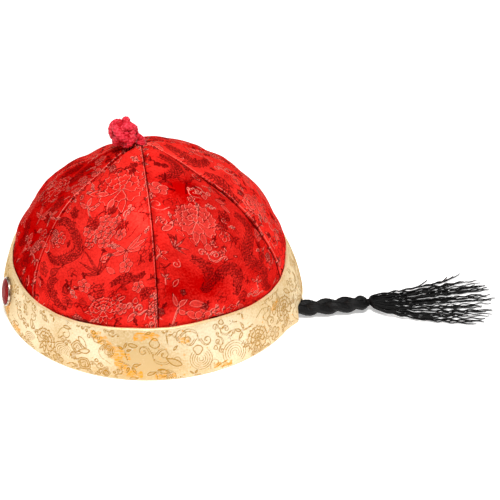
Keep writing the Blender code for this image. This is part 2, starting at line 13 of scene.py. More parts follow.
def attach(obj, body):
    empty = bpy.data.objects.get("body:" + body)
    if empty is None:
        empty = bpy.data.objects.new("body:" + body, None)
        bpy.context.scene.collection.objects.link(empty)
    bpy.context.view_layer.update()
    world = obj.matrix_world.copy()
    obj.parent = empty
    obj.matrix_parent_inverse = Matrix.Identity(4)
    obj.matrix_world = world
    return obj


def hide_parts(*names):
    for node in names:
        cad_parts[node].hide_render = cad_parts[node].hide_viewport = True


MM = 0.001
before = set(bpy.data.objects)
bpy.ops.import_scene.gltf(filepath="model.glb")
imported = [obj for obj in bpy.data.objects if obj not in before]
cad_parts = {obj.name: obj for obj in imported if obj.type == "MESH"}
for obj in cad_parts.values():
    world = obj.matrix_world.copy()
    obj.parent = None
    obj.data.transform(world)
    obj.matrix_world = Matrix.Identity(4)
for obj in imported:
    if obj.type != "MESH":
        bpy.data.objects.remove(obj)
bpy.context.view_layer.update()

# %% [markdown]
# ## The camera
# A small product like this is photographed from about 1.5 m with a long lens, so that the round
# rim isn't drawn out of shape. The lens looks down 36 degrees from the wearer's left.

# %% Place the camera
CAMERA_AZIMUTH, CAMERA_ELEVATION, CAMERA_ROLL = np.radians([79.6, 36.0, 0.65])
CAMERA_TARGET = Vector((0.0, 66.8 * MM, 26.1 * MM))
CAMERA_DISTANCE = 1.5
CAMERA_LENS, SENSOR_WIDTH = 158.46, 36.0  # mm
FARTHEST_SEEN = 20.0


def add_camera():
    """A camera whose three axes are worked out from azimuth, elevation and roll."""
    turn, lift = CAMERA_AZIMUTH, CAMERA_ELEVATION
    back = Vector((np.sin(turn) * np.cos(lift), -np.cos(turn) * np.cos(lift), np.sin(lift)))
    level = Vector((np.cos(turn), np.sin(turn), 0.0))
    above = back.cross(level)
    right = np.cos(CAMERA_ROLL) * level + np.sin(CAMERA_ROLL) * above
    axes = Matrix((right, back.cross(right), back)).transposed().to_4x4()
    data = bpy.data.cameras.new("view_from_the_left")
    data.lens = CAMERA_LENS
    data.sensor_width = SENSOR_WIDTH
    data.clip_end = FARTHEST_SEEN
    camera = bpy.data.objects.new("view_from_the_left", data)
    camera.matrix_world = Matrix.Translation(CAMERA_TARGET + CAMERA_DISTANCE * back) @ axes
    bpy.context.collection.objects.link(camera)
    bpy.context.scene.camera = camera


add_camera()
print("camera", CAMERA_DISTANCE, "m away")

# %% [markdown]
# ## Meshes from arrays
# Cloth, cord and yarn are all surfaces that can be worked out as a grid of points. One helper
# turns such arrays into an object, with a map for the weave and numbers for the woven figures.

# %% A helper that makes an object from arrays


def unit(vectors):
    """The vectors scaled to length 1."""
    return vectors / np.linalg.norm(vectors, axis=-1, keepdims=True)


def bell(distance):
    """1 at distance 0, falling smoothly to 0 at distance 1 and beyond."""
    return 0.5 + 0.5 * np.cos(np.pi * np.clip(np.abs(distance), 0, 1))


def grid_quads(rows, columns, rows_close=False, columns_close=False):
    """Corners of the quads on a grid of points, row by row. A closed way joins its end to its start."""
    row = np.arange(rows if rows_close else rows - 1)[:, None]
    column = np.arange(columns if columns_close else columns - 1)[None, :]
    here, above = row * columns, (row + 1) % rows * columns
    after = (column + 1) % columns
    corners = [here + column, here + after, above + after, above + column]
    return np.stack(corners, axis=-1).reshape(-1, 4)


def add_piece(name, points, face_sets, materials, uv=None, numbers=None, looks=None):
    """An object from points and sets of faces, where each set is an array with one face a row. UV
    and numbers have a value for each point, and looks has a material number for each face."""
    sizes = np.concatenate([np.full(len(faces), faces.shape[1]) for faces in face_sets])
    corners = np.concatenate([faces.ravel() for faces in face_sets]).astype(np.int32)
    mesh = bpy.data.meshes.new(name)
    mesh.vertices.add(len(points))
    mesh.vertices.foreach_set("co", np.asarray(points, np.float32).ravel())
    mesh.loops.add(len(corners))
    mesh.loops.foreach_set("vertex_index", corners)
    mesh.polygons.add(len(sizes))
    starts = np.concatenate([[0], np.cumsum(sizes)[:-1]]).astype(np.int32)
    mesh.polygons.foreach_set("loop_start", starts)
    mesh.update(calc_edges=True)
    if uv is not None:
        layer = mesh.uv_layers.new(name="cloth")
        layer.data.foreach_set("uv", np.asarray(uv, np.float32)[corners].ravel())
    for label, values in (numbers or {}).items():
        data = mesh.attributes.new(label, "FLOAT", "POINT").data
        data.foreach_set("value", np.asarray(values, np.float32).ravel())
    for material in materials:
        mesh.materials.append(material)
    if looks is not None:
        mesh.polygons.foreach_set("material_index", np.asarray(looks, np.int32))
    mesh.shade_smooth()
    piece = bpy.data.objects.new(name, mesh)
    bpy.context.collection.objects.link(piece)
    triangles = int((sizes - 2).sum())
    print(name, "has", triangles, "triangles")
    return piece


# %% [markdown]
# ## Materials from nodes
# Every finish below is built from nodes. Colours are written as sRGB hex values, as a dyer's card
# gives them, and turned into linear light by one function.

# %% Helpers for colours and nodes


def linear(hex_colour):
    """An sRGB hex value as linear red, green, blue and an alpha of 1."""
    values = np.array([int(hex_colour[start:start + 2], 16) for start in (1, 3, 5)]) / 255
    light = np.where(values <= 0.04045, values / 12.92, ((values + 0.055) / 1.055) ** 2.4)
    return (*light.tolist(), 1.0)


def add_node(tree, kind, inputs=None, **settings):
    """One node with its settings. An input is a number, a colour or another node's output."""
    node = tree.nodes.new(kind)
    for field, value in settings.items():
        setattr(node, field, value)
    for socket, value in (inputs or {}).items():
        if isinstance(value, bpy.types.NodeSocket):
            tree.links.new(value, node.inputs[socket])
        else:
            node.inputs[socket].default_value = value
    return node


def new_material(name):
    """An empty material and its Principled shader."""
    material = bpy.data.materials.new(name)
    material.use_nodes = True
    return material, material.node_tree, material.node_tree.nodes["Principled BSDF"]

# %% [markdown]
# ## Brocade
# Brocade is satin with figures woven in by extra threads. The ground is smooth and glossy, and
# the figures are matt or bright lines that stand a little proud. Both cloths of the cap are made
# so. The figures are drawn later as distances: each point of the cloth knows how many millimetres
# it is from the nearest line, and the material turns that number into a crisp edge.

# %% Brocade for the crown and the cuff
CLOTH_UV = 0.1  # one unit of a cloth's map is this many metres
THREAD = 0.6  # mm between the drawn threads; the real ones are 0.15 mm, too fine to show
BAND_SPACING = 0.444  # units between a wave texture's diagonal bands at a scale of 1
# Cells of noise in one unit of the map, which is 100 mm
WARP_FLOATS = (150.0, 14.0, 1.0)  # raised warp threads 0.7 mm wide, each floating over 7 mm
WEFT_FLOATS = (26.0, 95.0, 1.0)  # weft threads 1 mm wide that show for 4 mm and dip under
DYE_PATCHES, DYE_SPECKS = 6.0, 75.0  # uneven dye, in patches of 17 mm and specks of 1.3 mm
EDGE_BLUR = 0.16  # mm to each side over which a mark fades out
RELIEF = 0.06  # mm by which a mark of relief 1 stands out
SATIN_MIRROR = 0.2  # satin's highlight has the colour of its threads, as a metal's has


def make_brocade(name, ground, ground_shade, thread, edge, edge_share, blot, blot_share, fill_share,
                 roughness):
    """Satin ground, filled figures, blots of another weft, a fine edge and a raised bright line. The
    tone attribute lightens or deepens the ground with painted highlights and painted shade."""
    material, tree, shader = new_material(name)
    uv = add_node(tree, "ShaderNodeTexCoord").outputs["UV"]
    spans = add_node(tree, "ShaderNodeMapping", {"Vector": uv, "Scale": WARP_FLOATS})
    warp = add_node(tree, "ShaderNodeTexNoise", {"Vector": spans.outputs[0], "Scale": 1.0,
                                                 "Detail": 2.0})
    dashes = add_node(tree, "ShaderNodeMapping", {"Vector": uv, "Scale": WEFT_FLOATS})
    weft = add_node(tree, "ShaderNodeTexNoise", {"Vector": dashes.outputs[0], "Scale": 1.0,
                                                 "Detail": 2.0})
    broken = add_node(tree, "ShaderNodeMapRange", {"Value": weft.outputs[0], "From Min": 0.40,
                                                   "From Max": 0.56, "To Min": 0.15 * blot_share,
                                                   "To Max": blot_share})
    worn = add_node(tree, "ShaderNodeMapRange", {"Value": weft.outputs[0], "From Min": 0.35,
                                                 "From Max": 0.55, "To Min": 0.6})
    patches = add_node(tree, "ShaderNodeTexNoise", {"Vector": uv, "Scale": DYE_PATCHES, "Detail": 2.0})
    specks = add_node(tree, "ShaderNodeTexNoise", {"Vector": uv, "Scale": DYE_SPECKS, "Detail": 2.0})
    grain = add_node(tree, "ShaderNodeMath", {0: patches.outputs[0], 1: specks.outputs[0]},
                     operation="ADD")
    # The tone attribute carries painted highlights and painted shade; it is added to the dye's grain
    tone = add_node(tree, "ShaderNodeAttribute", attribute_name="tone")
    dye_and_painted_light = add_node(tree, "ShaderNodeMath", {0: grain.outputs[0], 1: tone.outputs["Fac"]},
                     operation="ADD")
    uneven = add_node(tree, "ShaderNodeMapRange", {"Value": dye_and_painted_light.outputs[0], "From Min": 0.6,
                                                   "From Max": 1.4})
    colour = add_node(tree, "ShaderNodeMix", {0: uneven.outputs[0], 6: linear(ground_shade),
                                              7: linear(ground)}, data_type="RGBA").outputs[2]
    pitch = THREAD * MM / CLOTH_UV
    twill = add_node(tree, "ShaderNodeTexWave", {"Vector": uv, "Scale": BAND_SPACING / pitch},
                     wave_type="BANDS", bands_direction="DIAGONAL")
    height = add_node(tree, "ShaderNodeMath", {0: twill.outputs[1], 1: 0.25, 2: warp.outputs[0]},
                      operation="MULTIPLY_ADD").outputs[0]
    # Each row: the mark, how strongly it covers, its colour and its relief, from the lowest layer up
    layers = (("fill", fill_share, thread, 3.0), ("blot", broken.outputs[0], blot, 1.0),
              ("line", worn.outputs[0], thread, 1.6), ("dark", edge_share, edge, -2.0))
    for mark, strength, tint, relief in layers:
        distance = add_node(tree, "ShaderNodeAttribute", attribute_name=mark)
        share = add_node(tree, "ShaderNodeMapRange",
                         {"Value": distance.outputs["Fac"], "From Min": EDGE_BLUR,
                          "From Max": -EDGE_BLUR, "To Max": strength}, interpolation_type="SMOOTHSTEP")
        colour = add_node(tree, "ShaderNodeMix", {0: share.outputs[0], 6: colour, 7: linear(tint)},
                          data_type="RGBA").outputs[2]
        height = add_node(tree, "ShaderNodeMath", {0: share.outputs[0], 1: relief, 2: height},
                          operation="MULTIPLY_ADD").outputs[0]
    # The last layer's dark edges are a little rougher than the satin
    rough = add_node(tree, "ShaderNodeMath", {0: share.outputs[0], 1: 0.1, 2: roughness},
                     operation="MULTIPLY_ADD")
    bump = add_node(tree, "ShaderNodeBump", {"Height": height, "Strength": 1.0, "Distance": RELIEF * MM})
    tree.links.new(colour, shader.inputs["Base Color"])
    tree.links.new(rough.outputs[0], shader.inputs["Roughness"])
    tree.links.new(bump.outputs[0], shader.inputs["Normal"])
    shader.inputs["Specular IOR Level"].default_value = 0.0
    shader.inputs["Metallic"].default_value = SATIN_MIRROR
    shader.inputs["Specular Tint"].default_value = linear(ground)
    return material


# The ground and its shade are the two ends between which the dye's grain and the tone's painted
# highlights and painted shade move
red_brocade = make_brocade(
    "red satin brocade", ground="#FF352C", ground_shade="#B80101", thread="#FF8374", edge="#5C0305",
    edge_share=0.9, blot="#4A0F0F", blot_share=0.5, fill_share=0.12, roughness=0.36)
ivory_brocade = make_brocade(
    "ivory satin brocade", ground="#FFEDC8", ground_shade="#DFBD86", thread="#BA8426", edge="#FFF6DE",
    edge_share=0.45, blot="#FBA51C", blot_share=0.88, fill_share=0.16, roughness=0.34)


LINING_THREADS = (30.0, 160.0, 1.0)  # cells of noise in 100 mm: threads 0.6 mm wide


def make_lining():
    """The back of the cloth inside the cap: plain, matt and darker, with its threads showing."""
    material, tree, shader = new_material("red cotton lining")
    uv = add_node(tree, "ShaderNodeTexCoord").outputs["UV"]
    spans = add_node(tree, "ShaderNodeMapping", {"Vector": uv, "Scale": LINING_THREADS})
    threads = add_node(tree, "ShaderNodeTexNoise", {"Vector": spans.outputs[0], "Scale": 1.0,
                                                    "Detail": 3.0})
    colour = add_node(tree, "ShaderNodeMix", {0: threads.outputs[0], 6: linear("#7E1210"),
                                              7: linear("#A81C18")}, data_type="RGBA")
    bump = add_node(tree, "ShaderNodeBump", {"Height": threads.outputs[0], "Distance": 0.15 * MM})
    tree.links.new(colour.outputs[2], shader.inputs["Base Color"])
    tree.links.new(bump.outputs[0], shader.inputs["Normal"])
    shader.inputs["Roughness"].default_value = 0.8
    return material


red_lining = make_lining()
print("cloths:", red_brocade.name, "/", ivory_brocade.name, "/", red_lining.name)

# %% [markdown]
# ## The cuff's and crown's forms
# The cuff is a leaning band with a slight belly. Each gore is a patch of a dome whose foot follows
# the inside of the cuff. Both are the solids' own formulas, so the cloth lies where the solids are.

# %% The cuff's form
RIM_HALF = np.array([97.8, 102.4])  # mm, to the side and to the front
CUFF_TOP_HALF = np.array([87.4, 93.3])
CUFF_TOP_SHIFT_Y = -2.5
CUFF_HEIGHT = 34.6
CUFF_BELLY = 1.4
CUFF_WALL = 2.2
HEM_WALL = 2.0
HEM_HEIGHT = 12.0
EDGE_ROUND = 0.9
PLAIT_DIAMETER = 10.5
# mm, from the inside of the cuff, under its rim, to the binding
PLAIT_POINTS = np.array([
    (40.6, 73.0, 6.0), (41.2, 80.0, 5.8), (42.0, 87.0, 5.7), (43.0, 95.0, 5.6),
    (44.0, 105.0, 5.6), (44.3, 116.0, 5.6), (44.4, 128.0, 5.6), (44.3, 138.5, 5.5),
])
ARCH_CLEARANCE, ARCH_SIDE_CLEARANCE, ARCH_BULGE = 0.4, 1.6, 5.0
ARCH_SQUARENESS, ARCH_FADE = 8, 1.5  # powers that shape its sides, and its height up the cuff
CUFF_CORNERS = ((42, 2.2), (138, 4.5), (-138, 2.2), (-42, 2.2))  # azimuth, mm pushed out at the top
CORNER_HALF_WIDTH = np.radians(36)


def rim_crossing():
    """Azimuth at which the plait's line passes under the rim, read off where it leaves the oval."""
    shares = PLAIT_POINTS[:, :2] / RIM_HALF
    outside = np.hypot(shares[:, 0], shares[:, 1])
    return np.arctan2(np.interp(1, outside, shares[:, 0]), -np.interp(1, outside, shares[:, 1]))


ARCH_AZIMUTH = rim_crossing()


def cuff_point(azimuth, height, inset=0.0):
    """A point of the cuff in mm: an oval that shrinks as it rises, with a belly, and a narrow arch
    where the plait passes under the rim."""
    azimuth, height, inset = np.broadcast_arrays(azimuth, height, inset)
    aside = (azimuth - ARCH_AZIMUTH) * RIM_HALF[1]
    narrow = np.exp(-(aside / (PLAIT_DIAMETER / 2 + ARCH_SIDE_CLEARANCE)) ** ARCH_SQUARENESS)
    fade = np.clip(1 - height / CUFF_HEIGHT, 0, 1) ** ARCH_FADE
    lift = (PLAIT_DIAMETER + ARCH_CLEARANCE) * narrow * fade
    height = height + lift
    rise = height / CUFF_HEIGHT
    pushed = ARCH_BULGE * bell(aside / (2 * PLAIT_DIAMETER)) * np.clip(1 - rise, 0, 1)
    for corner, push in CUFF_CORNERS:
        away = (azimuth - np.radians(corner) + np.pi) % (2 * np.pi) - np.pi
        pushed = pushed + push * bell(away / CORNER_HALF_WIDTH) * rise
    belly = CUFF_BELLY * np.sin(np.pi * np.clip(rise, 0, 1)) + pushed - inset
    half = RIM_HALF + (CUFF_TOP_HALF - RIM_HALF) * rise[..., None] + belly[..., None]
    return np.stack([half[..., 0] * np.sin(azimuth),
                     CUFF_TOP_SHIFT_Y * rise - half[..., 1] * np.cos(azimuth), height], axis=-1)


print("the plait passes under the rim at", round(float(np.degrees(ARCH_AZIMUTH)), 1), "degrees")

# %% The crown's form
CROWN_RISE = 83.0
APEX = np.array([-5.0, -5.5])
APEX_HOLE_RADIUS = 3.0
CROWN_WALL = 1.8
CROWN_LAP = 8.0
CLOTH_CLEARANCE = 0.3
SEAM_VALLEY_DEPTH, SEAM_VALLEY_WIDTH = 0.6, 2.6
SEAM_FADE = 0.06  # share of the climb over which a seam's groove sets in
PUFF_ACROSS, PUFF_ALONG = 0.8, 0.6  # powers of the sines that shape a gore's puff
APEX_DIP_DEPTH, APEX_DIP_START = 2.0, 0.55
# Each row: seam angle, fullness at the seam, fullness midway, puff, how early the puff crests
GORES = np.array([
    (-30, 1.48, 1.52, 0.015, 1.0), (28, 1.90, 1.90, 0.050, 1.0), (86.5, 2.30, 1.90, 0.055, 1.0),
    (150, 1.57, 1.51, 0.040, 0.65), (208, 1.53, 1.51, 0.010, 1.0), (268, 1.50, 1.44, 0.010, 1.0),
])
# Each row: azimuth, drift, half width, low end, high end, depth
FOLDS = np.array([
    (101, -8, 17, 0.01, 0.36, -0.088), (122, -4, 6, 0.00, 0.30, 0.034),
    (72, 4, 12, 0.01, 0.30, -0.050), (5, 8, 26, 0.12, 0.46, -0.035), (158, 0, 7, 0.12, 0.85, 0.020),
    (172, 0, 22, 0.35, 0.75, 0.008), (-20, 0, 90, 0.45, 1.00, -0.014),
    (244, 0, 40, 0.00, 0.56, 0.045), (300, 0, 38, 0.00, 0.56, 0.045),
])
SEAMS = np.radians(GORES[:, 0])
SEAMS_AFTER = np.append(SEAMS[1:], SEAMS[0] + 2 * np.pi)
TOP_ANGLE = np.arccos(APEX_HOLE_RADIUS / CUFF_TOP_HALF[0])


def fullness(azimuth):
    """How square the dome's profile is, eased between the seams and the middles of the gores."""
    angles = np.stack([SEAMS, (SEAMS + SEAMS_AFTER) / 2], axis=1).ravel()
    angles = np.concatenate([angles - 2 * np.pi, angles, angles + 2 * np.pi])
    values = np.tile(GORES[:, 1:3].ravel(), 3)
    slot = np.searchsorted(angles, azimuth, side="right") - 1
    share = (azimuth - angles[slot]) / (angles[slot + 1] - angles[slot])
    share = 0.5 - 0.5 * np.cos(np.pi * share)
    return values[slot] * (1 - share) + values[slot + 1] * share


def sag(azimuth, climbed):
    """How far the folds move the dome out or in, in mm: for each, one bell across it and one along."""
    moved = 0
    for angle, drift, half_width, low, high, depth in FOLDS:
        share = (climbed - low) / (high - low)
        aside = (azimuth - np.radians(angle + drift * share) + np.pi) % (2 * np.pi) - np.pi
        moved = moved + CROWN_RISE * depth * bell(aside / np.radians(half_width)) * bell(2 * share - 1)
    return moved


def dome_outward(azimuth, climbed):
    """The dome's outward direction: level at the cuff and upright at the apex."""
    azimuth, climbed = np.broadcast_arrays(azimuth, climbed)
    lean = climbed * np.pi / 2
    return np.stack([np.sin(azimuth) * np.cos(lean), -np.cos(azimuth) * np.cos(lean), np.sin(lean)],
                    axis=-1)


def crown_point(azimuth, climb):
    """A point of the crown in mm: a super-ellipse dome from the cuff's top edge to the apex, swollen
    by the gore's puff, drawn in at the seams and moved by the folds."""
    azimuth, climb = np.broadcast_arrays(azimuth, climb)
    climbed = np.clip(climb, 0, 1)
    lap = CUFF_HEIGHT + np.clip(climb, -1, 0) * CROWN_LAP
    foot = cuff_point(azimuth, lap, CUFF_WALL + CLOTH_CLEARANCE)
    full = fullness(azimuth)
    spread = np.cos(climbed * TOP_ANGLE)
    rise = np.clip(1 - spread ** full, 0, None) ** (1 / full)
    plan = foot[..., :2] * spread[..., None] + APEX * (1 - spread[..., None])
    turned = (azimuth - SEAMS[0]) % (2 * np.pi) + SEAMS[0]
    gore = np.searchsorted(SEAMS, turned, side="right") - 1
    width = SEAMS_AFTER[gore] - SEAMS[gore]
    across = (turned - SEAMS[gore]) / width
    dome = np.sin(np.pi * np.clip(across, 0, 1) ** GORES[gore, 4]) ** PUFF_ACROSS
    swell = CROWN_RISE * GORES[gore, 3] * dome * np.sin(np.pi * climbed) ** PUFF_ALONG
    radius = np.linalg.norm(plan - APEX, axis=-1)
    to_seam = np.minimum(across, 1 - across) * width * radius
    fade = np.clip(climbed / SEAM_FADE, 0, 1) * np.clip(radius / (2 * SEAM_VALLEY_WIDTH), 0, 1)
    swell = swell - SEAM_VALLEY_DEPTH * bell(to_seam / SEAM_VALLEY_WIDTH) * fade
    dip = (climbed - APEX_DIP_START) / (1 - APEX_DIP_START)
    swell = swell - APEX_DIP_DEPTH * bell(2 * dip - 1) + sag(azimuth, climbed)
    point = np.concatenate([plan, (foot[..., 2] + CROWN_RISE * rise)[..., None]], axis=-1)
    return point + dome_outward(azimuth, climbed) * swell[..., None]


print("gores meet", round(CUFF_HEIGHT + CROWN_RISE, 1), "mm up")

# %% [markdown]
# ## Drawing woven figures
# A weaver draws peonies, plum blossom, lilies, clouds and coiling beasts as lines, and the loom
# repeats them. Here a figure is a list of outlines and lines in a square of size 1, worked out
# from petals, leaves and spirals. An outline hides what lies behind it, as a nearer petal does.

# %% A pen that draws on cloth
RED_THREADS, IVORY_THREADS = (0.20, 0.20), (0.14, 0.38)  # mm, half widths of edge and rim
STEM_HALF_WIDTH = 0.28
RIM_GAP = 0.06  # mm between a figure's edge and the other thread, just inside it
# A line beside each bright stem: painted shadow on the red cloth, painted highlight on the ivory
STEM_PAINTED_RELIEF = np.array([0.40, -0.32])  # mm from a stem to its shade
FAR = 1.5  # mm from a mark, beyond which the distance no longer matters
# Tone of the points without figures, among them the cuff's fold, inner face and hem: a little painted
# shade
BARE_PAINTED_SHADE = -0.2
MARKS = ("line", "dark", "fill", "blot", "tone")
NOISE_WAVES, NOISE_PITCH = 9, (0.6, 1.7)
TAKEN_SHARE, NEEDED_SHARE = 0.38, 0.36  # of a figure's size: the room it takes, and that it asks for


def soft_noise(x, y, seed):
    """A smooth random surface between about -1 and 1, the sum of waves in random directions."""
    chance = np.random.default_rng(seed)
    angles, pitches = chance.uniform(0, np.pi, NOISE_WAVES), chance.uniform(*NOISE_PITCH, NOISE_WAVES)
    total = 0
    for angle, pitch, phase in zip(angles, pitches, chance.uniform(0, 2 * np.pi, NOISE_WAVES)):
        total = total + np.sin(pitch * (x * np.cos(angle) + y * np.sin(angle)) + phase)
    return total / 4


def new_cloth(across, up, threads):
    """A cloth's points in mm, the half widths of its figures' edges and rims, the places taken so
    far, and a number at each point for each mark: a distance, at first far from any, or the tone, which
    holds painted light and shade."""
    points = np.stack([across.ravel(), up.ravel()], axis=1)
    marks = {mark: np.full(len(points), FAR) for mark in MARKS}
    return {"points": points, "edge": threads[0], "rim": threads[1], "taken": [], **marks}


def with_bare(cloth, count):
    """The cloth's marks, and after them those of a number of points without figures."""
    bare = {mark: np.full(count, BARE_PAINTED_SHADE if mark == "tone" else FAR) for mark in MARKS}
    return {mark: np.concatenate([cloth[mark], bare[mark]]) for mark in MARKS}


def near(cloth, path, margin):
    """Numbers of the cloth's points in the box round a path."""
    points, low, high = cloth["points"], path.min(axis=0) - margin, path.max(axis=0) + margin
    inside = (points[:, 0] > low[0]) & (points[:, 0] < high[0])
    return np.flatnonzero(inside & (points[:, 1] > low[1]) & (points[:, 1] < high[1]))


def distance_to(points, path):
    """Distance from each point to the nearest segment of a path."""
    start, step = path[:-1], path[1:] - path[:-1]
    reach = points[:, None, :] - start[None]
    share = np.clip((reach * step).sum(axis=2) / ((step ** 2).sum(axis=1) + 1e-12), 0, 1)
    return np.linalg.norm(reach - share[..., None] * step[None], axis=2).min(axis=1)


def within(points, outline):
    """Whether each point is inside a closed outline, by counting the edges that a ray crosses."""
    first, second = outline, np.roll(outline, -1, axis=0)
    x, y = points[:, 0, None], points[:, 1, None]
    spans = (first[None, :, 1] > y) != (second[None, :, 1] > y)
    rise = second[None, :, 1] - first[None, :, 1]
    meets = first[None, :, 0] + (y - first[None, :, 1]) / np.where(rise == 0, 1, rise) * (
        second[None, :, 0] - first[None, :, 0])
    return (spans & (x < meets)).sum(axis=1) % 2 == 1


def ink(cloth, mark, path, half_width):
    """Draws a line as the distance to it, less half its width."""
    chosen = near(cloth, path, FAR)
    away = distance_to(cloth["points"][chosen], path) - half_width
    cloth[mark][chosen] = np.minimum(cloth[mark][chosen], away)


def cover(cloth, outline, tone):
    """Clears the marks inside an outline and draws its edge. A bright or dark figure is filled, a
    bright or soft one has a rim inside its edge, and a thin one is its edge alone."""
    closed = np.vstack([outline, outline[:1]])
    chosen = near(cloth, closed, FAR)
    points = cloth["points"][chosen]
    away, inside = distance_to(points, closed), within(points, outline)
    for mark in ("line", "dark", "blot"):
        before = cloth[mark][chosen]
        cloth[mark][chosen] = np.where(inside, np.maximum(before, away), before)
    if tone in ("bright", "dark"):
        mark = "fill" if tone == "bright" else "blot"
        cloth[mark][chosen] = np.minimum(cloth[mark][chosen], np.where(inside, -away, away))
    if tone in ("bright", "soft"):
        middle = cloth["edge"] + RIM_GAP + cloth["rim"]
        rim = np.where(inside, np.abs(away - middle) - cloth["rim"], FAR)
        cloth["line"][chosen] = np.minimum(cloth["line"][chosen], rim)
    ink(cloth, "dark", closed, cloth["edge"])


def trace(cloth, kind, path, tone):
    """A vein is a fine dark line. A stem is a bright one with a line of painted shadow beside it (a
    painted highlight on the ivory), or a dark one.
    """
    if kind == "vein":
        ink(cloth, "dark", path, 0.6 * cloth["edge"])
    elif tone in ("dark", "thin"):
        ink(cloth, "dark", path, 1.2 * cloth["edge"])
    else:
        ink(cloth, "line", path, STEM_HALF_WIDTH)
        ink(cloth, "dark", path + STEM_PAINTED_RELIEF, 0.8 * cloth["edge"])


def turned(points, heading, base=(0.0, 0.0)):
    """Points turned so that their +Y looks along a heading, in degrees clockwise, then moved."""
    angle = np.radians(heading)
    x, y = points[:, 0], points[:, 1]
    return np.stack([x * np.cos(angle) + y * np.sin(angle),
                     y * np.cos(angle) - x * np.sin(angle)], axis=1) + np.asarray(base)


def draw(cloth, figure, x, y, size, heading=0.0, tone="bright"):
    """Draws a figure at a place on the cloth, in mm."""
    cloth["taken"].append((x, y, TAKEN_SHARE * size))
    for kind, path in figure:
        placed = turned(path * size, heading, (x, y))
        if kind == "shape":
            cover(cloth, placed, tone)
        else:
            trace(cloth, kind, placed, tone)


def scatter(cloth, figures, tries, sizes, seed, tones):
    """Small figures in the gaps that are left, turned at random."""
    chance = np.random.default_rng(seed)
    low, high = cloth["points"].min(axis=0), cloth["points"].max(axis=0)
    for _ in range(tries):
        x, y = chance.uniform(low, high)
        size, heading = chance.uniform(*sizes), chance.uniform(0, 360)
        tone = tones[chance.integers(len(tones))]
        figure = figures[chance.integers(len(figures))]
        room = NEEDED_SHARE * size
        if all(np.hypot(x - a, y - b) > reach + room for a, b, reach in cloth["taken"]):
            draw(cloth, figure, x, y, size, heading, tone)


def smooth_line(points, steps=8):
    """A smooth curve through points (Catmull-Rom), with a few steps between each two."""
    points = np.asarray(points, float)
    padded = np.vstack([2 * points[0] - points[1], points, 2 * points[-1] - points[-2]])
    share = np.linspace(0, 1, steps, endpoint=False)[:, None]
    spans = []
    for a, b, c, d in zip(padded, padded[1:], padded[2:], padded[3:]):
        spans.append(0.5 * (2 * b + (c - a) * share + (2 * a - 5 * b + 4 * c - d) * share ** 2
                            + (3 * b - a - 3 * c + d) * share ** 3))
    return np.vstack(spans + [points[-1:]])


print("pen ready: stems", 2 * STEM_HALF_WIDTH, "mm wide")

# %% Petals, leaves and scrolls


def petal(base, heading, length, width, ruffles=0):
    """An oval from its base, with a ruffled edge towards its tip."""
    turn = np.linspace(-np.pi, np.pi, 27)[:-1]
    tip = 0.5 + 0.5 * np.cos(turn)
    edge = 1 + 0.10 * tip * np.cos(ruffles * turn)
    outline = np.stack([width / 2 * np.sin(turn) * edge, length * tip * edge], axis=1)
    return [("shape", turned(outline, heading, base))]


def fan(base, heading, length, spread, veins):
    """A wide petal with a ruffled outer edge, and short veins."""
    turn = np.linspace(-1, 1, 15)
    reach = length * (1 - 0.16 * turn ** 2) * (1 + 0.07 * np.cos(3 * np.pi * turn))
    angle = np.radians(spread) * turn
    edge = np.stack([reach * np.sin(angle), reach * np.cos(angle)], axis=1)
    parts = [("shape", turned(np.vstack([[(0.0, 0.0)], edge]), heading, base))]
    for aside in np.linspace(-0.5, 0.5, veins):
        angle = np.radians(spread) * aside
        vein = np.outer([0.5 * length, 0.8 * length], [np.sin(angle), np.cos(angle)])
        parts.append(("vein", turned(vein, heading, base)))
    return parts


def leaf(base, heading, length, width, bend=0.0):
    """A pointed leaf along a bent middle line, with its midrib."""
    along = np.linspace(0, 1, 12)
    middle = np.stack([bend * length * along ** 2, length * along], axis=1)
    half = np.stack([width / 2 * np.sin(np.pi * along ** 0.8), 0 * along], axis=1)
    outline = np.vstack([middle - half, (middle + half)[-2:0:-1]])
    return [("shape", turned(outline, heading, base)), ("vein", turned(middle[1:-2], heading, base))]


SCROLL_TURNS, SCROLL_TAPER = 1.15, 0.82


def scroll(base, heading, size, hand=1):
    """A tendril that leaves its base along the heading and rolls up into a spiral."""
    share = np.linspace(0, 1, 22)
    radius = size / 2 * (1 - SCROLL_TAPER * share)
    angle = 2 * np.pi * SCROLL_TURNS * share
    coil = np.stack([hand * (size / 2 - radius * np.cos(angle)), size / 2 + radius * np.sin(angle)],
                    axis=1)
    return [("stem", turned(np.vstack([[(0.0, 0.0)], coil]), heading, base))]


def peony():
    """Rows of ruffled petals, the outer ones lowest, over four leaves."""
    parts = leaf((0, -0.2), 155, 0.42, 0.18, 0.2) + leaf((0, -0.2), -150, 0.46, 0.18, -0.2)
    parts += leaf((-0.2, -0.05), -112, 0.48, 0.19, 0.1) + leaf((0.2, -0.05), 108, 0.46, 0.18, -0.1)
    for heading in (-128, 128, -84, 84, -42, 42, 0):
        parts += fan((0, 0), heading, 0.47, 27, 2)
    for heading in (180, -100, 100, -50, 50, 0):
        parts += fan((0, 0.02), heading, 0.33, 30, 2)
    for heading in (-66, 66, 0):
        parts += fan((0, 0.02), heading, 0.20, 36, 1)
    return parts + petal((0, -0.02), 0, 0.13, 0.12)


def blossom():
    """Five round petals, five stamens and a round middle."""
    parts = []
    for heading in range(0, 360, 72):
        parts += petal((0, 0), heading, 0.5, 0.46)
    for heading in range(36, 396, 72):
        parts.append(("vein", turned(np.array([(0, 0.08), (0, 0.27)]), heading)))
    return parts + petal((0, -0.07), 0, 0.14, 0.14)


def lily():
    """Long bent leaves that arch out from one point, with a small one below."""
    parts = []
    for heading, length, bend in ((-104, 0.5, 0.2), (-72, 0.62, 0.25), (100, 0.6, -0.25),
                                  (74, 0.64, -0.2), (52, 0.55, -0.25)):
        parts += leaf((0, 0), heading, length, 0.15, bend)
    return parts + leaf((0, 0), 172, 0.34, 0.12, 0.2)


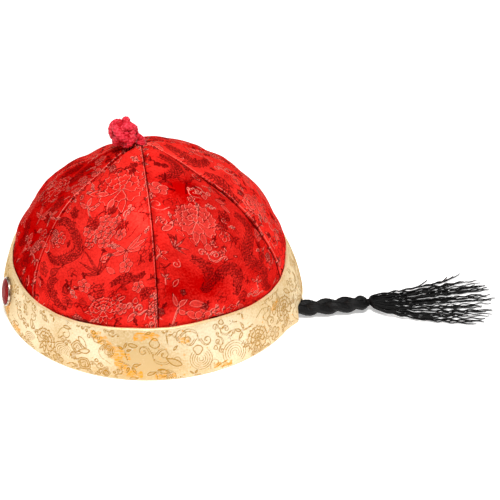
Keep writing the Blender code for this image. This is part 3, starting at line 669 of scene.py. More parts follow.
def sprig():
    """Three curled leaves on a forked stem."""
    stem = smooth_line([(0.35, -0.5), (0.1, -0.2), (0, 0)])
    parts = [("stem", stem), ("stem", stem + 0.03)]
    return parts + leaf((0, 0), -95, 0.5, 0.2, 0.25) + leaf((0, 0), -12, 0.46, 0.2, 0.2) + leaf(
        (0.05, -0.05), 70, 0.42, 0.19, -0.3)


def cloud():
    """A lucky cloud: two scrolls that roll away from each other, a lobe between, and a curling tail."""
    parts = []
    for gap in (0.0, 0.055):
        parts += scroll((-0.03 - gap, -0.02), -35, 0.30 - gap, -1)
        parts += scroll((0.03 + gap, -0.02), 35, 0.30 - gap, 1)
    tail = smooth_line([(-0.03, -0.02), (0.05, -0.2), (0.28, -0.24), (0.46, -0.1)])
    parts += [("stem", tail), ("stem", tail + (0.0, 0.055))]
    return parts + scroll((0.44, -0.12), 40, 0.2, 1) + petal((0, 0.12), 0, 0.26, 0.3, 3)


def grass():
    """A tuft of narrow blades."""
    parts = []
    for heading, length in ((-62, 0.7), (-34, 0.9), (-8, 1.0), (20, 0.85), (48, 0.7)):
        parts += leaf((0, 0), heading, length, 0.11, 0.12 * np.sign(heading))
    return parts


def coin():
    """A lozenge with rounded sides inside another, and a knot in its middle."""
    turn = np.linspace(0, 2 * np.pi, 33)[:-1]
    ring = np.stack([np.sin(turn), np.cos(turn)], axis=1)
    ring = ring * (1 - 0.16 * np.abs(np.sin(2 * turn)))[:, None]
    parts = [("shape", 0.5 * ring), ("shape", 0.36 * ring)]
    return parts + [("stem", smooth_line([(-0.14, -0.12), (0, 0.14), (0.14, -0.12), (-0.06, -0.02)]))]


def ripples():
    """Rings of waves in a fan, one over the other."""
    parts = []
    for size in (0.5, 0.4, 0.3, 0.2, 0.1):
        turn = np.linspace(-np.pi * 0.75, np.pi * 0.75, 24)
        parts.append(("stem", np.stack([size * np.sin(turn), size * np.cos(turn)], axis=1)))
    return parts


BEAST_ROOM = 0.8  # of its width, that a beast takes to each side
SCALE_ROW, FIN_STEP = 1.7, 2.6  # mm from one to the next
SCALE_LINE, FIN_LINE, CLAW_LINE = 0.22, 0.24, 0.25  # mm, half widths
MELTED_EDGE, MELTED_GRAIN = 0.8, 0.55  # mm by which the weft's grain moves a beast's edge, and its size
BODY_LOSS = 0.25  # mm of the body's half width that the grain takes


def serpent(cloth, path, width, claws):
    """A coiling beast in dark weft: rows of scales on a body that tapers, a fin of flames along its
    back, and claws."""
    line = smooth_line(path, 10)
    cloth["taken"] += [(x, y, BEAST_ROOM * width) for x, y in line[::5]]
    along = np.concatenate([[0], np.cumsum(np.linalg.norm(np.diff(line, axis=0), axis=1))])
    ahead = unit(np.gradient(line, axis=0))
    square = np.stack([ahead[:, 1], -ahead[:, 0]], axis=1)

    def spot(distance, aside):
        """The point at a distance along the body, and a share of its half width aside."""
        share = np.clip(distance / along[-1], 0, 1)
        body = width / 2 * np.sin(np.pi * (0.12 + 0.8 * share)) ** 0.6
        centre = np.array([np.interp(distance, along, line[:, axis]) for axis in (0, 1)])
        sideways = np.array([np.interp(distance, along, square[:, axis]) for axis in (0, 1)])
        return centre + sideways * body * aside

    edges = [np.array([spot(distance, aside) for distance in np.linspace(0, along[-1], 22)])
             for aside in (-1, 1)]
    closed = np.vstack([edges[0], edges[1][::-1]])
    chosen = near(cloth, closed, FAR)
    points = cloth["points"][chosen]
    away = distance_to(points, np.vstack([closed, closed[:1]]))
    grain = soft_noise(points[:, 0] / MELTED_GRAIN, points[:, 1] / MELTED_GRAIN, 33)
    body = np.where(within(points, closed), -away, away) + MELTED_EDGE * grain + BODY_LOSS
    cloth["blot"][chosen] = np.minimum(cloth["blot"][chosen], np.minimum(body, FAR))
    for edge in edges:
        ink(cloth, "dark", edge, SCALE_LINE)
    for row, distance in enumerate(np.arange(0.8, along[-1] - 0.5, SCALE_ROW)):
        for aside in ((-0.66, -0.1, 0.46) if row % 2 else (-0.38, 0.18)):
            scale = [spot(distance, aside - 0.26), spot(distance + 1.2, aside),
                     spot(distance, aside + 0.26)]
            ink(cloth, "dark", smooth_line(scale, 3), SCALE_LINE)
    for distance in np.arange(1.5, along[-1] - 1, FIN_STEP):
        fin = [spot(distance, 1.0), spot(distance - 0.6, 1.2), spot(distance - 1.6, 1.34)]
        ink(cloth, "dark", smooth_line(fin, 3), FIN_LINE)
    for claw in range(claws):
        distance = along[-1] * (claw + 1) / (claws + 1)
        for reach in (-1.2, 0.0, 1.2):
            toe = [spot(distance, -1.0), spot(distance + reach, -1.4),
                   spot(distance + 1.8 * reach + 0.8, -1.7)]
            ink(cloth, "dark", smooth_line(toe, 4), CLAW_LINE)


print("figures: a peony has", len(peony()), "parts")

# %% [markdown]
# ## Where the figures lie
# A cap's gores are cut from one brocade, so the same figures turn up on each, cut off by the seams
# wherever they happen to fall. Places are in mm on the flat gore: across from its middle line, and
# up from the cuff's top edge. Each row has the figure, its place, its size, its heading in degrees
# and its tone: bright thread, soft, or the dark weft.

# %% Tables of figures on the gores
FIGURES = {"peony": peony(), "blossom": blossom(), "lily": lily(), "sprig": sprig(), "cloud": cloud(),
           "grass": grass(), "coin": coin(), "ripples": ripples(),
           "leaf": leaf((0, 0), 0, 1.0, 0.42, 0.15), "scroll": scroll((0, 0), 0, 1.0)}
FILLERS = [FIGURES[name] for name in ("blossom", "leaf", "scroll", "cloud", "sprig", "cloud", "peony")]
# Each row: places on a gore that stay plain, as across, up and radius in mm
PLAIN_PLACES = ([], [(-5, 45, 7), (10, 86, 6)], [(-30, 30, 10), (-16, 30, 10), (-34, 80, 7)], [], [], [])
LEFT_GORE = (
    ("peony", 4.6, 95.4, 34, -10, "soft"), ("leaf", -2, 91, 10, -118, "bright"),
    ("leaf", 1.5, 88, 11, 176, "bright"), ("leaf", 14, 113, 9, 20, "soft"),
    ("sprig", -12.5, 77, 17, 0, "bright"), ("blossom", 2.0, 71.3, 8.5, 0, "bright"),
    ("blossom", 9.2, 70.2, 8, 30, "bright"), ("blossom", -7.2, 62.2, 8, 15, "bright"),
    ("blossom", 0.8, 64.0, 8, 50, "bright"), ("blossom", 7.3, 63.5, 7.5, 20, "bright"),
    ("blossom", 4.6, 57.2, 8, 0, "bright"), ("lily", 21.6, 49.7, 23, 0, "bright"),
    ("blossom", 23, 39.5, 9, 10, "bright"), ("leaf", 16.6, 36.2, 9, -62, "bright"),
    ("leaf", -18, 16, 13.5, 15, "dark"), ("leaf", -17.6, 18, 9.5, 15, "dark"),
    ("grass", 6.3, 36.5, 18, -30, "dark"), ("leaf", -30, 26, 10, 35, "dark"),
    ("blossom", -3.3, 27.6, 9, 0, "bright"), ("leaf", 0, 22, 8, 120, "bright"),
    ("sprig", 22, 27, 13, 80, "dark"), ("blossom", 32.9, 23.7, 8, 30, "bright"),
    ("blossom", -14.7, 12.2, 8, 0, "dark"), ("cloud", -3.4, 12.0, 17, 0, "dark"),
    ("peony", 10.5, 12.0, 20, 0, "soft"), ("blossom", 19.1, 17.4, 8, 24, "soft"),
    ("leaf", 26.4, 3.0, 9, 40, "bright"), ("cloud", 31.0, 11.0, 15, 10, "soft"),
    ("scroll", 37.5, 4.0, 6, 20, "bright"), ("ripples", -35.0, 12.0, 14, 0, "dark"),
    ("blossom", -37.0, 27.0, 9, 0, "dark"),
)
RIGHT_GORE = (
    ("peony", -9.7, 68.5, 29, 12, "bright"), ("cloud", 7.0, 88.0, 16, 200, "bright"),
    ("leaf", 13, 81, 10, 110, "bright"), ("leaf", 15, 77, 9, 140, "bright"),
    ("scroll", 2, 84, 8, -60, "bright"), ("sprig", 0, 97, 15, 70, "dark"),
    ("sprig", -11, 103, 13, -110, "dark"), ("leaf", -35.5, 62.0, 10, 60, "bright"),
    ("scroll", -37, 68, 7, 40, "bright"), ("grass", -33.0, 50.0, 12, 70, "bright"),
    ("cloud", -10.5, 46.0, 19, 16, "bright"), ("sprig", -43, 46, 13, 80, "soft"),
    ("sprig", -38, 9, 18, 60, "bright"), ("leaf", -31, 10, 12, 78, "bright"),
    ("leaf", -33, 6, 11, 110, "bright"), ("blossom", -21.3, 2.8, 11, 0, "bright"),
    ("scroll", -49, 3.5, 6, -70, "bright"), ("coin", 31.6, 34.5, 8, 0, "dark"),
    ("coin", 6.4, 12.0, 9, 0, "dark"), ("cloud", 16, 9, 14, 0, "soft"),
    ("blossom", -2, 3.5, 8, 0, "soft"), ("sprig", 20, 19, 12, 30, "soft"),
    ("leaf", -20, 58, 8, 140, "soft"), ("blossom", 5, 55, 8, 0, "soft"),
)
BACK_GORE = (
    ("cloud", -3, 76, 19, 70, "bright"), ("blossom", -9, 66.0, 9, 0, "bright"),
    ("leaf", 3, 82, 11, 40, "bright"), ("leaf", 8, 74, 11, 100, "bright"),
    ("peony", -22, 49, 22, 20, "bright"), ("cloud", -26, 33, 18, 60, "bright"),
    ("scroll", -38.2, 18.9, 7, 10, "bright"), ("leaf", -42, 6, 8, 20, "bright"),
    ("coin", -27, 21, 9, 0, "soft"), ("peony", 14, 32, 28, -15, "bright"),
    ("lily", 22, 60, 20, 0, "bright"), ("cloud", 4, 10, 20, 10, "bright"),
    ("blossom", -12, 22, 9, 0, "bright"), ("blossom", 33, 14, 10, 0, "soft"),
    ("sprig", 4, 98, 14, 30, "soft"),
)
FRONT_GORE = (
    ("blossom", -1.3, 97.8, 9, 0, "bright"), ("sprig", 4, 94, 13, 60, "bright"),
    ("blossom", 14, 90.3, 9, 20, "bright"), ("blossom", 16.8, 79.5, 9, 0, "bright"),
    ("blossom", 10, 81, 7, 40, "bright"), ("leaf", 14, 76, 9, 190, "bright"),
    ("blossom", 22.8, 71.4, 8, 0, "bright"), ("scroll", 24, 60.8, 9, 10, "bright"),
    ("peony", -3.0, 63.0, 25, 0, "soft"), ("lily", 11.3, 43.5, 22, 0, "bright"),
    ("sprig", 27, 47, 13, 20, "bright"), ("blossom", 30, 33, 9, 0, "soft"),
    ("cloud", 9.0, 22.0, 20, 0, "bright"), ("blossom", 27, 14, 10, 0, "dark"),
    ("peony", -22, 30, 26, 10, "bright"), ("cloud", -30, 62, 15, 20, "bright"),
    ("sprig", -14, 12, 15, 40, "bright"), ("ripples", 20, 6, 12, 0, "dark"),
)
# Each row: points of the beast's middle line, its width in mm and how many of its legs show
LEFT_BEASTS = (
    (((-36, 59), (-26, 63), (-16, 58), (-11.5, 49), (-19, 41), (-29, 36), (-37, 39)), 6.2, 3),
    (((-24, 27), (-29, 20), (-24, 11), (-15, 6)), 5.8, 1),
    (((14, 29), (22, 32), (30, 30), (37, 33)), 4.9, 1),
)
RIGHT_BEASTS = (
    (((0, 126), (6, 117), (3, 110), (-5, 106), (-14, 105)), 6.7, 1),
    (((-24, 44), (-17, 40), (-13.5, 33), (-17, 24), (-22, 20)), 7.5, 2),
    (((-9, 27), (-6, 33), (1, 34.5), (5, 29), (3, 21), (0, 15)), 7.5, 2),
    (((24, 69), (30, 62), (31, 54), (22, 46), (16, 39), (21, 32), (29, 25), (27, 14), (32, 6)), 9.3, 3),
)
BACK_BEASTS = (
    (((3, 118), (-4, 108), (-9, 98), (-3, 90), (4, 88)), 7.2, 2),
    (((-16, 90), (-20, 78), (-28, 68), (-29, 58)), 7.2, 1),
    (((30, 50), (36, 40), (28, 28), (34, 22)), 7.2, 2),
)
FRONT_BEASTS = (
    (((2, 90), (-3, 84), (3, 77), (-4, 72)), 6.4, 1), (((16, 62), (24, 56), (20, 48), (28, 42)), 7.2, 1),
    (((2, 33), (-4, 28), (3, 21), (-3, 14)), 8.1, 2), (((-14, 80), (-20, 72), (-13, 64)), 7.2, 1),
)


def mirrored(figures, beasts):
    """The same figures as the loom repeats them on the other side, turned over left to right."""
    return (tuple((kind, -x, y, size, -heading, tone) for kind, x, y, size, heading, tone in figures),
            tuple((tuple((-x, y) for x, y in path), width, claws) for path, width, claws in beasts))


GORE_ART = ((FRONT_GORE, FRONT_BEASTS), (LEFT_GORE, LEFT_BEASTS), (RIGHT_GORE, RIGHT_BEASTS),
            (BACK_GORE, BACK_BEASTS), mirrored(RIGHT_GORE, RIGHT_BEASTS),
            mirrored(LEFT_GORE, LEFT_BEASTS))
print("figures on the gores:", [len(figures) + len(beasts) for figures, beasts in GORE_ART])

# %% [markdown]
# ## The six gores
# Satin shows every seam and pull. Beside a seam the cloth dives into a groove and its folded
# allowance stands as a thin welt. Thread pulled tight puckers it, and an empty cap sags into soft
# hollows. Each gore is one fine grid outside, with the figures' distances at its points, a coarse
# grid for the lining, and a strip that joins them all round.

# %% The small folds of the cloth
GORE_COLUMNS, GORE_ROWS, LAP_ROWS, LINING_STEP = 168, 240, 8, 8
# All in mm. Beside a seam the cloth is held down, and grooves and welts fade where gores get narrow
SLACK_ACROSS, SLACK_UP = 6.5, 8
CRINKLE_HEIGHT, CRINKLE_ACROSS, CRINKLE_UP = 0.18, 2.4, 3.6
HELD_BESIDE_SEAM, HELD_ABOVE_CUFF = 1.5, 2.5
GROOVE_DEPTH, GROOVE_WIDTH, GROOVE_ROOM = 1.0, 0.5, 9
WELT_HEIGHT, WELT_PLACE, WELT_WIDTH, WELT_ROOM = 1.4, 1.0, 0.42, 12
RIDGE_PLACE, RIDGE_WIDTH, RIDGE_MIDDLE = 3.0, 2.0, 60
PUCKER_PITCH, PUCKER_REACH, PUCKER_DRIFT = 5.2, 3.5, 7
PULL_HEIGHT, PULL_REACH, PULL_MIDDLE, PULL_HALF = 0.22, 7, 22, 30  # creases where thread is tight
PULL_UP, PULL_AWAY = 1.5, 2.5
GATHER_HEIGHT, GATHER_REACH, GATHER_PITCH, GATHER_DRIFT = 0.35, 4.5, 1.05, 6  # at the cuff
UNEVEN_PUCKERS, UNEVEN_GATHERS = 2.2, 1.6  # radians
# Each row: welt at the first seam and at the last, ridge at each, puckers at each, and how wide a
# strip of painted shade lies beside each seam, all in mm
SEAM_LOOKS = ((0.0, 0.45, 0.0, 0.0, 0.15, 0.16, 0.2, 0.2), (0.05, 0.45, 0.0, 0.2, 0.16, 0.10, 0.3, 0.2),
              (0.0, 0.0, 0.2, 0.0, 0.10, 0.14, 0.25, 0.9), (0.45, 0.30, 1.4, 0.0, 0.10, 0.12, 0.5, 0.2),
              (0.0, 0.35, 0.0, 0.0, 0.15, 0.15, 0.2, 0.2), (0.0, 0.35, 0.0, 0.0, 0.15, 0.15, 0.2, 0.2))
SLACK = (1.1, 0.8, 0.8, 1.0, 1.1, 1.3)  # mm by which the cloth of each gore rises and sinks


def small_folds(number, across, up, to_first, to_last):
    """Height of the groove, welt, ridge and puckers at both seams, of the gathers at the cuff and of
    the cloth's slack, in mm."""
    looks = SEAM_LOOKS[number]
    height = SLACK[number] * soft_noise(across / SLACK_ACROSS, up / SLACK_UP, number)
    crinkles = soft_noise(across / CRINKLE_ACROSS, up / CRINKLE_UP, 80 + number)
    height = height + CRINKLE_HEIGHT * crinkles
    for side, away in enumerate((to_first, to_last)):
        welt, ridge, pucker = looks[side], looks[2 + side], looks[4 + side]
        off_seam = 1 - np.exp(-(away / HELD_BESIDE_SEAM) ** 2)
        height = height * off_seam
        standing = WELT_HEIGHT * welt * np.exp(-((away - WELT_PLACE) / WELT_WIDTH) ** 2)
        height = height + standing * np.clip((to_first + to_last) / WELT_ROOM, 0, 1)
        raised = ridge * np.exp(-((away - RIDGE_PLACE) / RIDGE_WIDTH) ** 2)
        height = height + raised * bell((up - RIDGE_MIDDLE) / RIDGE_MIDDLE)
        uneven = UNEVEN_PUCKERS * soft_noise(up / PUCKER_DRIFT, 0 * up + side, 20 + number)
        waves = np.sin(2 * np.pi * up / PUCKER_PITCH + uneven)
        height = height + pucker * waves * off_seam * np.exp(-away / PUCKER_REACH)
        groove = GROOVE_DEPTH * np.exp(-(away / GROOVE_WIDTH) ** 2)
        height = height - groove * np.clip((to_first + to_last) / GROOVE_ROOM, 0, 1)
    # The seam between the second and the third gore is the one that was sewn too tight
    tight = bell((up - PULL_MIDDLE) / PULL_HALF) * (number in (1, 2))
    away = to_last if number == 1 else to_first
    creases = np.sin(up / PULL_UP - away / PULL_AWAY)
    pulled = np.exp(-away / PULL_REACH) * creases * (1 - np.exp(-away ** 2))
    height = height + PULL_HEIGHT * tight * pulled
    uneven = UNEVEN_GATHERS * soft_noise(across / GATHER_DRIFT, 0 * across, 40 + number)
    gathers = np.sin(across / GATHER_PITCH + uneven)
    height = height + GATHER_HEIGHT * gathers * np.exp(-np.clip(up, 0, None) / GATHER_REACH)
    return height * np.clip(up / HELD_ABOVE_CUFF, 0, 1)


# Painted shade where a fold sinks the cloth, painted light where it swells
SAG_PAINTED_LIGHT = 0.05  # change of tone for each mm that a fold moves the cloth
# Painted light and shade, each row: a gore's own tone, then places on it as across, up, radius
# in mm and tone
GORE_PAINTED_LIGHT = ((-0.28, ()), (0.12, ((-30, 55, 20, -0.2), (8, 40, 26, 0.2), (4, 8, 30, -0.2))),
              (-0.02, ((-6, 92, 26, -0.4), (-14, 26, 20, -0.3), (22, 14, 12, 0.2))),
              (0.2, ()), (0.0, ()), (0.0, ()))


def gore_painted_light(number, across, up, azimuth, climb):
    """The gore's painted light and shade: its own tone, painted shade in the folds' hollows and painted
    light or shade at its places.
    """
    tone, places = GORE_PAINTED_LIGHT[number]
    tone = tone + SAG_PAINTED_LIGHT * sag(azimuth, np.clip(climb, 0, 1))
    for x, y, radius, change in places:
        tone = tone + change * bell(np.hypot(across - x, up - y) / radius)
    return tone


# %% The gore's grid, its figures and its lining
# Each row: tries, smallest and largest size in mm, seed, and tones of the small figures in the gaps
GORE_FILLINGS = ((900, (7.0, 13.0), 50, ("bright", "soft", "thin", "thin")),
                 (1500, (4.0, 7.0), 70, ("soft", "thin")))
# A painted highlight along each raised welt
WELT_HIGHLIGHT_PLACE, WELT_HIGHLIGHT = 1.1, 0.2  # mm from the seam, and half width, of the light along a welt
RAISED_WELT = 0.2  # a welt above this catches the light


def gore_grid(number):
    """Azimuth and climb of the outer grid, which is finer near the seams. Its first rows are the lap
    inside the cuff."""
    lap = np.linspace(-1, 0, LAP_ROWS + 1)[:-1]
    climb = np.concatenate([lap, np.linspace(0, 1, GORE_ROWS - LAP_ROWS + 1)])[:, None]
    even = np.linspace(0, 1, GORE_COLUMNS + 1)[None, :]
    share = 0.7 * even + 0.3 * (0.5 - 0.5 * np.cos(np.pi * even))
    return SEAMS[number] + (SEAMS_AFTER[number] - SEAMS[number]) * share, climb


def laid_flat(outer):
    """Distances on the cloth in mm: across from the middle line, up from the cuff's top edge, and to
    the first and the last seam."""
    steps = np.linalg.norm(np.diff(outer, axis=1), axis=2)
    to_first = np.concatenate([np.zeros((len(outer), 1)), np.cumsum(steps, axis=1)], axis=1)
    to_last = to_first[:, -1:] - to_first
    middle = outer[:, GORE_COLUMNS // 2]
    up = np.concatenate([[0], np.cumsum(np.linalg.norm(np.diff(middle, axis=0), axis=1))])
    up = np.broadcast_to((up - up[LAP_ROWS])[:, None], to_first.shape)
    return (to_first - to_last) / 2, up, to_first, to_last


def weave_gore(number, across, up, to_first, to_last):
    """The gore's cloth with its beasts, its figures, small ones in the gaps, a line of painted shade
    along each seam and a painted highlight along each raised welt."""
    cloth = new_cloth(across, up, RED_THREADS)
    figures, beasts = GORE_ART[number]
    for path, width, claws in beasts:
        serpent(cloth, path, width, claws)
    for kind, x, y, size, heading, tone in figures:
        draw(cloth, FIGURES[kind], x, y, size, heading, tone)
    cloth["taken"] += PLAIN_PLACES[number]
    for tries, sizes, seed, tones in GORE_FILLINGS:
        scatter(cloth, FILLERS, tries, sizes, seed + number, tones)
    # Painted shade in each seam's groove, and a painted highlight along each raised welt
    welts, shades = SEAM_LOOKS[number][:2], SEAM_LOOKS[number][6:]
    for away, welt, shade in zip((to_first.ravel(), to_last.ravel()), welts, shades):
        cloth["dark"] = np.minimum(cloth["dark"], away - shade)
        if welt > RAISED_WELT:
            cloth["line"] = np.minimum(cloth["line"], np.abs(away - WELT_HIGHLIGHT_PLACE) - WELT_HIGHLIGHT)
    return cloth


def join_lining(rows, columns, few_columns):
    """Polygons between the outer grid's edge and the lining's, which has one point for each eight."""
    edge = np.concatenate([np.arange(columns), np.arange(1, rows) * columns + columns - 1,
                           (rows - 1) * columns + np.arange(columns - 2, -1, -1),
                           np.arange(rows - 2, 0, -1) * columns])
    strip = []
    for place in range(0, len(edge), LINING_STEP):
        dense = edge[np.arange(place, place + LINING_STEP + 1) % len(edge)]
        ends = dense[[0, -1]]
        few = ends // columns // LINING_STEP * few_columns + ends % columns // LINING_STEP
        strip.append(np.concatenate([dense[::-1], rows * columns + few]))
    return np.array(strip)


def make_gore(number):
    """One gore: outer grid, coarse lining and the strip between, with its figures."""
    azimuth, climb = gore_grid(number)
    outer = crown_point(azimuth, climb)
    across, up, to_first, to_last = laid_flat(outer)
    outward = dome_outward(azimuth, np.clip(climb, 0, 1))
    folds = small_folds(number, across, up, to_first, to_last)
    outer = outer + outward * folds[..., None]
    inner = (outer - CROWN_WALL * outward)[::LINING_STEP, ::LINING_STEP]
    cloth = weave_gore(number, across, up, to_first, to_last)
    # Painted light and shade on the gore's satin
    cloth["tone"] = gore_painted_light(number, across, up, azimuth, climb).ravel()

    rows, columns = across.shape
    few_rows, few_columns = inner.shape[:2]
    outside = grid_quads(rows, columns)
    inside = rows * columns + grid_quads(few_rows, few_columns)[:, ::-1]
    strip = join_lining(rows, columns, few_columns)
    points = np.concatenate([outer.reshape(-1, 3), inner.reshape(-1, 3)]) * MM
    flat = np.stack([across, up], axis=-1)
    flat = np.concatenate([flat.reshape(-1, 2), flat[::LINING_STEP, ::LINING_STEP].reshape(-1, 2)])
    looks = np.concatenate([np.zeros(len(outside)), np.ones(len(inside) + len(strip))])
    gore = add_piece(f"gore_{number + 1}", points, [outside, inside, strip], [red_brocade, red_lining],
                     flat * MM / CLOTH_UV, with_bare(cloth, few_rows * few_columns), looks)
    print("  cut", round(float(across.max() - across.min())), "mm wide and",
          round(float(up.max() - up.min())), "mm long, with its lap")
    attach(gore, "root")
    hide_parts(f"crown_gore_{number + 1}")
    return gore


# %% Sew the crown
gores = [make_gore(number) for number in range(len(GORES))]
print("gores:", len(gores))

# %% [markdown]
# ## The cuff
# The cuff is a strip of stiffened brocade, folded over at its top edge, with its hem turned up
# inside. Its section is drawn as a closed outline and carried round the cap. The outer face gets
# most of the points, because the figures are on it.

# %% Figures on the cuff
# Each row: figure, azimuth in degrees, height in mm, size in mm and heading in degrees
CUFF_FIGURES = (
    ("cloud", 20, 20, 18, 20), ("leaf", 30, 23, 9, 160), ("scroll", 33, 27, 6, 190),
    ("peony", 39, 14, 19, 20), ("scroll", 45, 23, 9, 30), ("leaf", 47, 29, 8, 80),
    ("coin", 54, 18, 11, 0), ("coin", 56.5, 7.5, 11, 30), ("scroll", 49, 3, 8, 60),
    ("blossom", 45, 3.5, 9, 0), ("cloud", 60.5, 27, 13, 0), ("ripples", 66, 20, 9, 40),
    ("coin", 65, 4, 7, 0), ("cloud", 83.5, 19, 27, 10), ("leaf", 78, 24, 9, -90),
    ("scroll", 88, 8, 8, 120), ("leaf", 84, 8, 10, 100), ("leaf", 80, 4, 8, 60),
    ("cloud", 101, 25, 26, 190), ("scroll", 95, 23, 9, -40), ("ripples", 101, 12, 15, 180),
    ("leaf", 94, 10, 13, -70), ("cloud", 111, 28, 16, 20), ("ripples", 114.5, 9.5, 17, 10),
    ("scroll", 107, 4, 7, 70), ("sprig", 119.5, 22, 15, -60), ("peony", 125.5, 12, 20, 10),
    ("scroll", 127, 26, 12, 60), ("cloud", 134, 22, 18, 90), ("blossom", 135, 7, 10, 0),
    ("peony", 143, 18, 20, -10), ("scroll", 150, 10, 10, 20), ("cloud", 152, 25, 16, 60),
)
CUFF_REPEAT = 172  # degrees of azimuth after which the band's figures come again
CUFF_FILLERS = [FIGURES[name] for name in ("cloud", "scroll", "sprig", "leaf", "cloud", "ripples")]
# Each row: azimuth and height of the points of a gold blot, and its half width in mm
GOLD_BLOTS = (
    (((60, 30), (66, 24), (69.5, 15), (73, 7), (78, 4)), 2.6), (((77, 29), (81, 31), (85, 29.5)), 2.2),
    (((70, 22), (74, 16)), 1.6), (((94, 27), (97, 25)), 2.0), (((84, 3), (90, 3.5)), 2.4),
    (((106, 5), (112, 3)), 1.6), (((136, 24), (140, 27)), 1.8), (((8, 6), (11, 14)), 3.4),
    (((17, 6), (22, 4)), 2.4),
)
# Each row: azimuth, height and radius of a place with a painted highlight or painted shade on the
# satin, and its tone
CUFF_PAINTED_LIGHT = ((4, 16, 30, -0.35), (81, 14, 36, -0.7), (36, 24, 22, 0.25), (58, 22, 16, 0.2),
              (109, 16, 28, 0.35))
ROUND = 99.5  # mm along the cuff for one radian
FOOT_LINE_HEIGHT, FOOT_LINE = 0.9, 0.25  # mm, the second its half width
BLOT_RAGGEDNESS = 1.1  # mm by which the grain of the weft moves a gold blot's edge


def cuff_cloth(azimuth, height):
    """The cuff's cloth laid flat, with its figures and gold blots, twice round the cap. A pale line is
    drawn along its foot, and the tone holds random dye patches, painted highlights and painted shade."""
    cloth = new_cloth(ROUND * azimuth, height, IVORY_THREADS)
    for again in (0, CUFF_REPEAT):
        for kind, angle, level, size, heading in CUFF_FIGURES:
            draw(cloth, FIGURES[kind], ROUND * np.radians(angle + again), level, size, heading)
    scatter(cloth, CUFF_FILLERS, 4000, (9.0, 15.0), 64, ("bright", "soft"))
    scatter(cloth, CUFF_FILLERS, 3000, (5.0, 9.0), 65, ("soft",))
    for again in (0, CUFF_REPEAT):
        for path, half_width in GOLD_BLOTS:
            line = [(ROUND * np.radians(angle + again), level) for angle, level in path]
            ink(cloth, "blot", smooth_line(line), half_width)
    ragged = soft_noise(ROUND * azimuth.ravel() / 0.5, height.ravel() / 0.5, 70)
    cloth["blot"] = np.minimum(cloth["blot"] + BLOT_RAGGEDNESS * ragged - 0.3, FAR)
    # A pale line drawn along the foot
    thread = np.abs(height.ravel() - FOOT_LINE_HEIGHT) - FOOT_LINE
    cloth["dark"] = np.minimum(cloth["dark"], thread)
    # Random dye patches, then painted highlights and painted shade at the listed places
    tone = 0.25 * soft_noise(ROUND * azimuth / 14, height / 9, 71)
    for angle, level, radius, change in CUFF_PAINTED_LIGHT:
        for again in (0, CUFF_REPEAT):
            aside = ROUND * ((azimuth - np.radians(angle + again) + np.pi) % (2 * np.pi) - np.pi)
            tone = tone + change * bell(np.hypot(aside, height - level) / radius)
    cloth["tone"] = tone.ravel()
    return cloth


# %% Carry the cuff's section round the cap
CUFF_COLUMNS, CUFF_OUTER_ROWS = 1080, 62
# Each row: mm by which the cloth rises and sinks, how often round the cap, mm of height, and a seed
CUFF_SLACK = ((0.3, 9, 20, 60), (0.16, 30, 6, 61))
HELD_AT_FOOT = 8  # mm of height over which the slack sets in


def cuff_section():
    """Height and inset in mm of the closed section: outer face, top fold, inner face, turned-up hem
    and foot."""
    fold, hem = CUFF_WALL / 2, CUFF_WALL + HEM_WALL
    section = [(height, 0.0) for height in np.linspace(EDGE_ROUND, CUFF_HEIGHT - fold, CUFF_OUTER_ROWS)]
    for turn in np.radians([30, 60, 90, 120, 150]):
        section.append((CUFF_HEIGHT - fold + fold * np.sin(turn), fold - fold * np.cos(turn)))
    inner = np.linspace(CUFF_HEIGHT - fold, HEM_HEIGHT + HEM_WALL, 4)
    section += [(height, CUFF_WALL) for height in inner]
    section += [(HEM_HEIGHT + 0.6, hem - 0.5), (HEM_HEIGHT, hem), (EDGE_ROUND, hem), (0.25, hem - 0.3),
                (0.0, hem - EDGE_ROUND), (0.0, EDGE_ROUND), (0.25, 0.3)]
    return np.array(section)


def make_cuff():
    """The section carried round the cap as one closed ring, with a little slack in the cloth."""
    section = cuff_section()
    azimuth = np.linspace(0, 2 * np.pi, CUFF_COLUMNS, endpoint=False)[None, :]
    height, inset = section[:, :1], section[:, 1:]
    slack = 0
    for rise, often, pitch, seed in CUFF_SLACK:
        x, y = often * np.cos(azimuth), often * np.sin(azimuth) + height / pitch
        slack = slack + rise * soft_noise(x, y, seed)
    points = cuff_point(azimuth, height, inset - slack * np.clip(height / HELD_AT_FOOT, 0, 1)) * MM
    grid_azimuth = np.broadcast_to(azimuth, points.shape[:2])
    grid_height = np.broadcast_to(height + inset, points.shape[:2])
    cloth = cuff_cloth(grid_azimuth[:CUFF_OUTER_ROWS], grid_height[:CUFF_OUTER_ROWS])
    numbers = with_bare(cloth, (len(section) - CUFF_OUTER_ROWS) * CUFF_COLUMNS)
    flat = np.stack([ROUND * grid_azimuth, grid_height], axis=-1).reshape(-1, 2) * MM / CLOTH_UV
    faces = grid_quads(len(section), CUFF_COLUMNS, rows_close=True, columns_close=True)
    cuff = add_piece("cuff", points.reshape(-1, 3), [faces], [ivory_brocade], flat, numbers)
    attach(cuff, "root")
    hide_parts("cuff_band")


make_cuff()

# %% [markdown]
# ## The button knot
# A real button knot is a long cord laid three times round a ball while it swings up and down, over
# and under itself: a Turk's head. Its path is one formula, so a tube along it makes the knot. The
# cord is itself braided, and its stitches show as rows of small Vs.

# %% Round tubes and the yarns' materials


def frames_along(path, above):
    """Two unit vectors square to the path at each of its points: sideways, and nearest to above."""
    ahead = unit(np.gradient(path, axis=0))
    side = unit(np.cross(ahead, above))
    return side, np.cross(side, ahead)


def tube_points(path, above, radius, sides):
    """Rings of points round a path. Radius is one number, or one for each point of the rings."""
    side, up = frames_along(path, above)
    turn = np.linspace(0, 2 * np.pi, sides, endpoint=False)[None, :, None]
    radius = np.broadcast_to(radius, (len(path), sides))[..., None]
    return path[:, None] + radius * (np.cos(turn) * side[:, None] + np.sin(turn) * up[:, None])


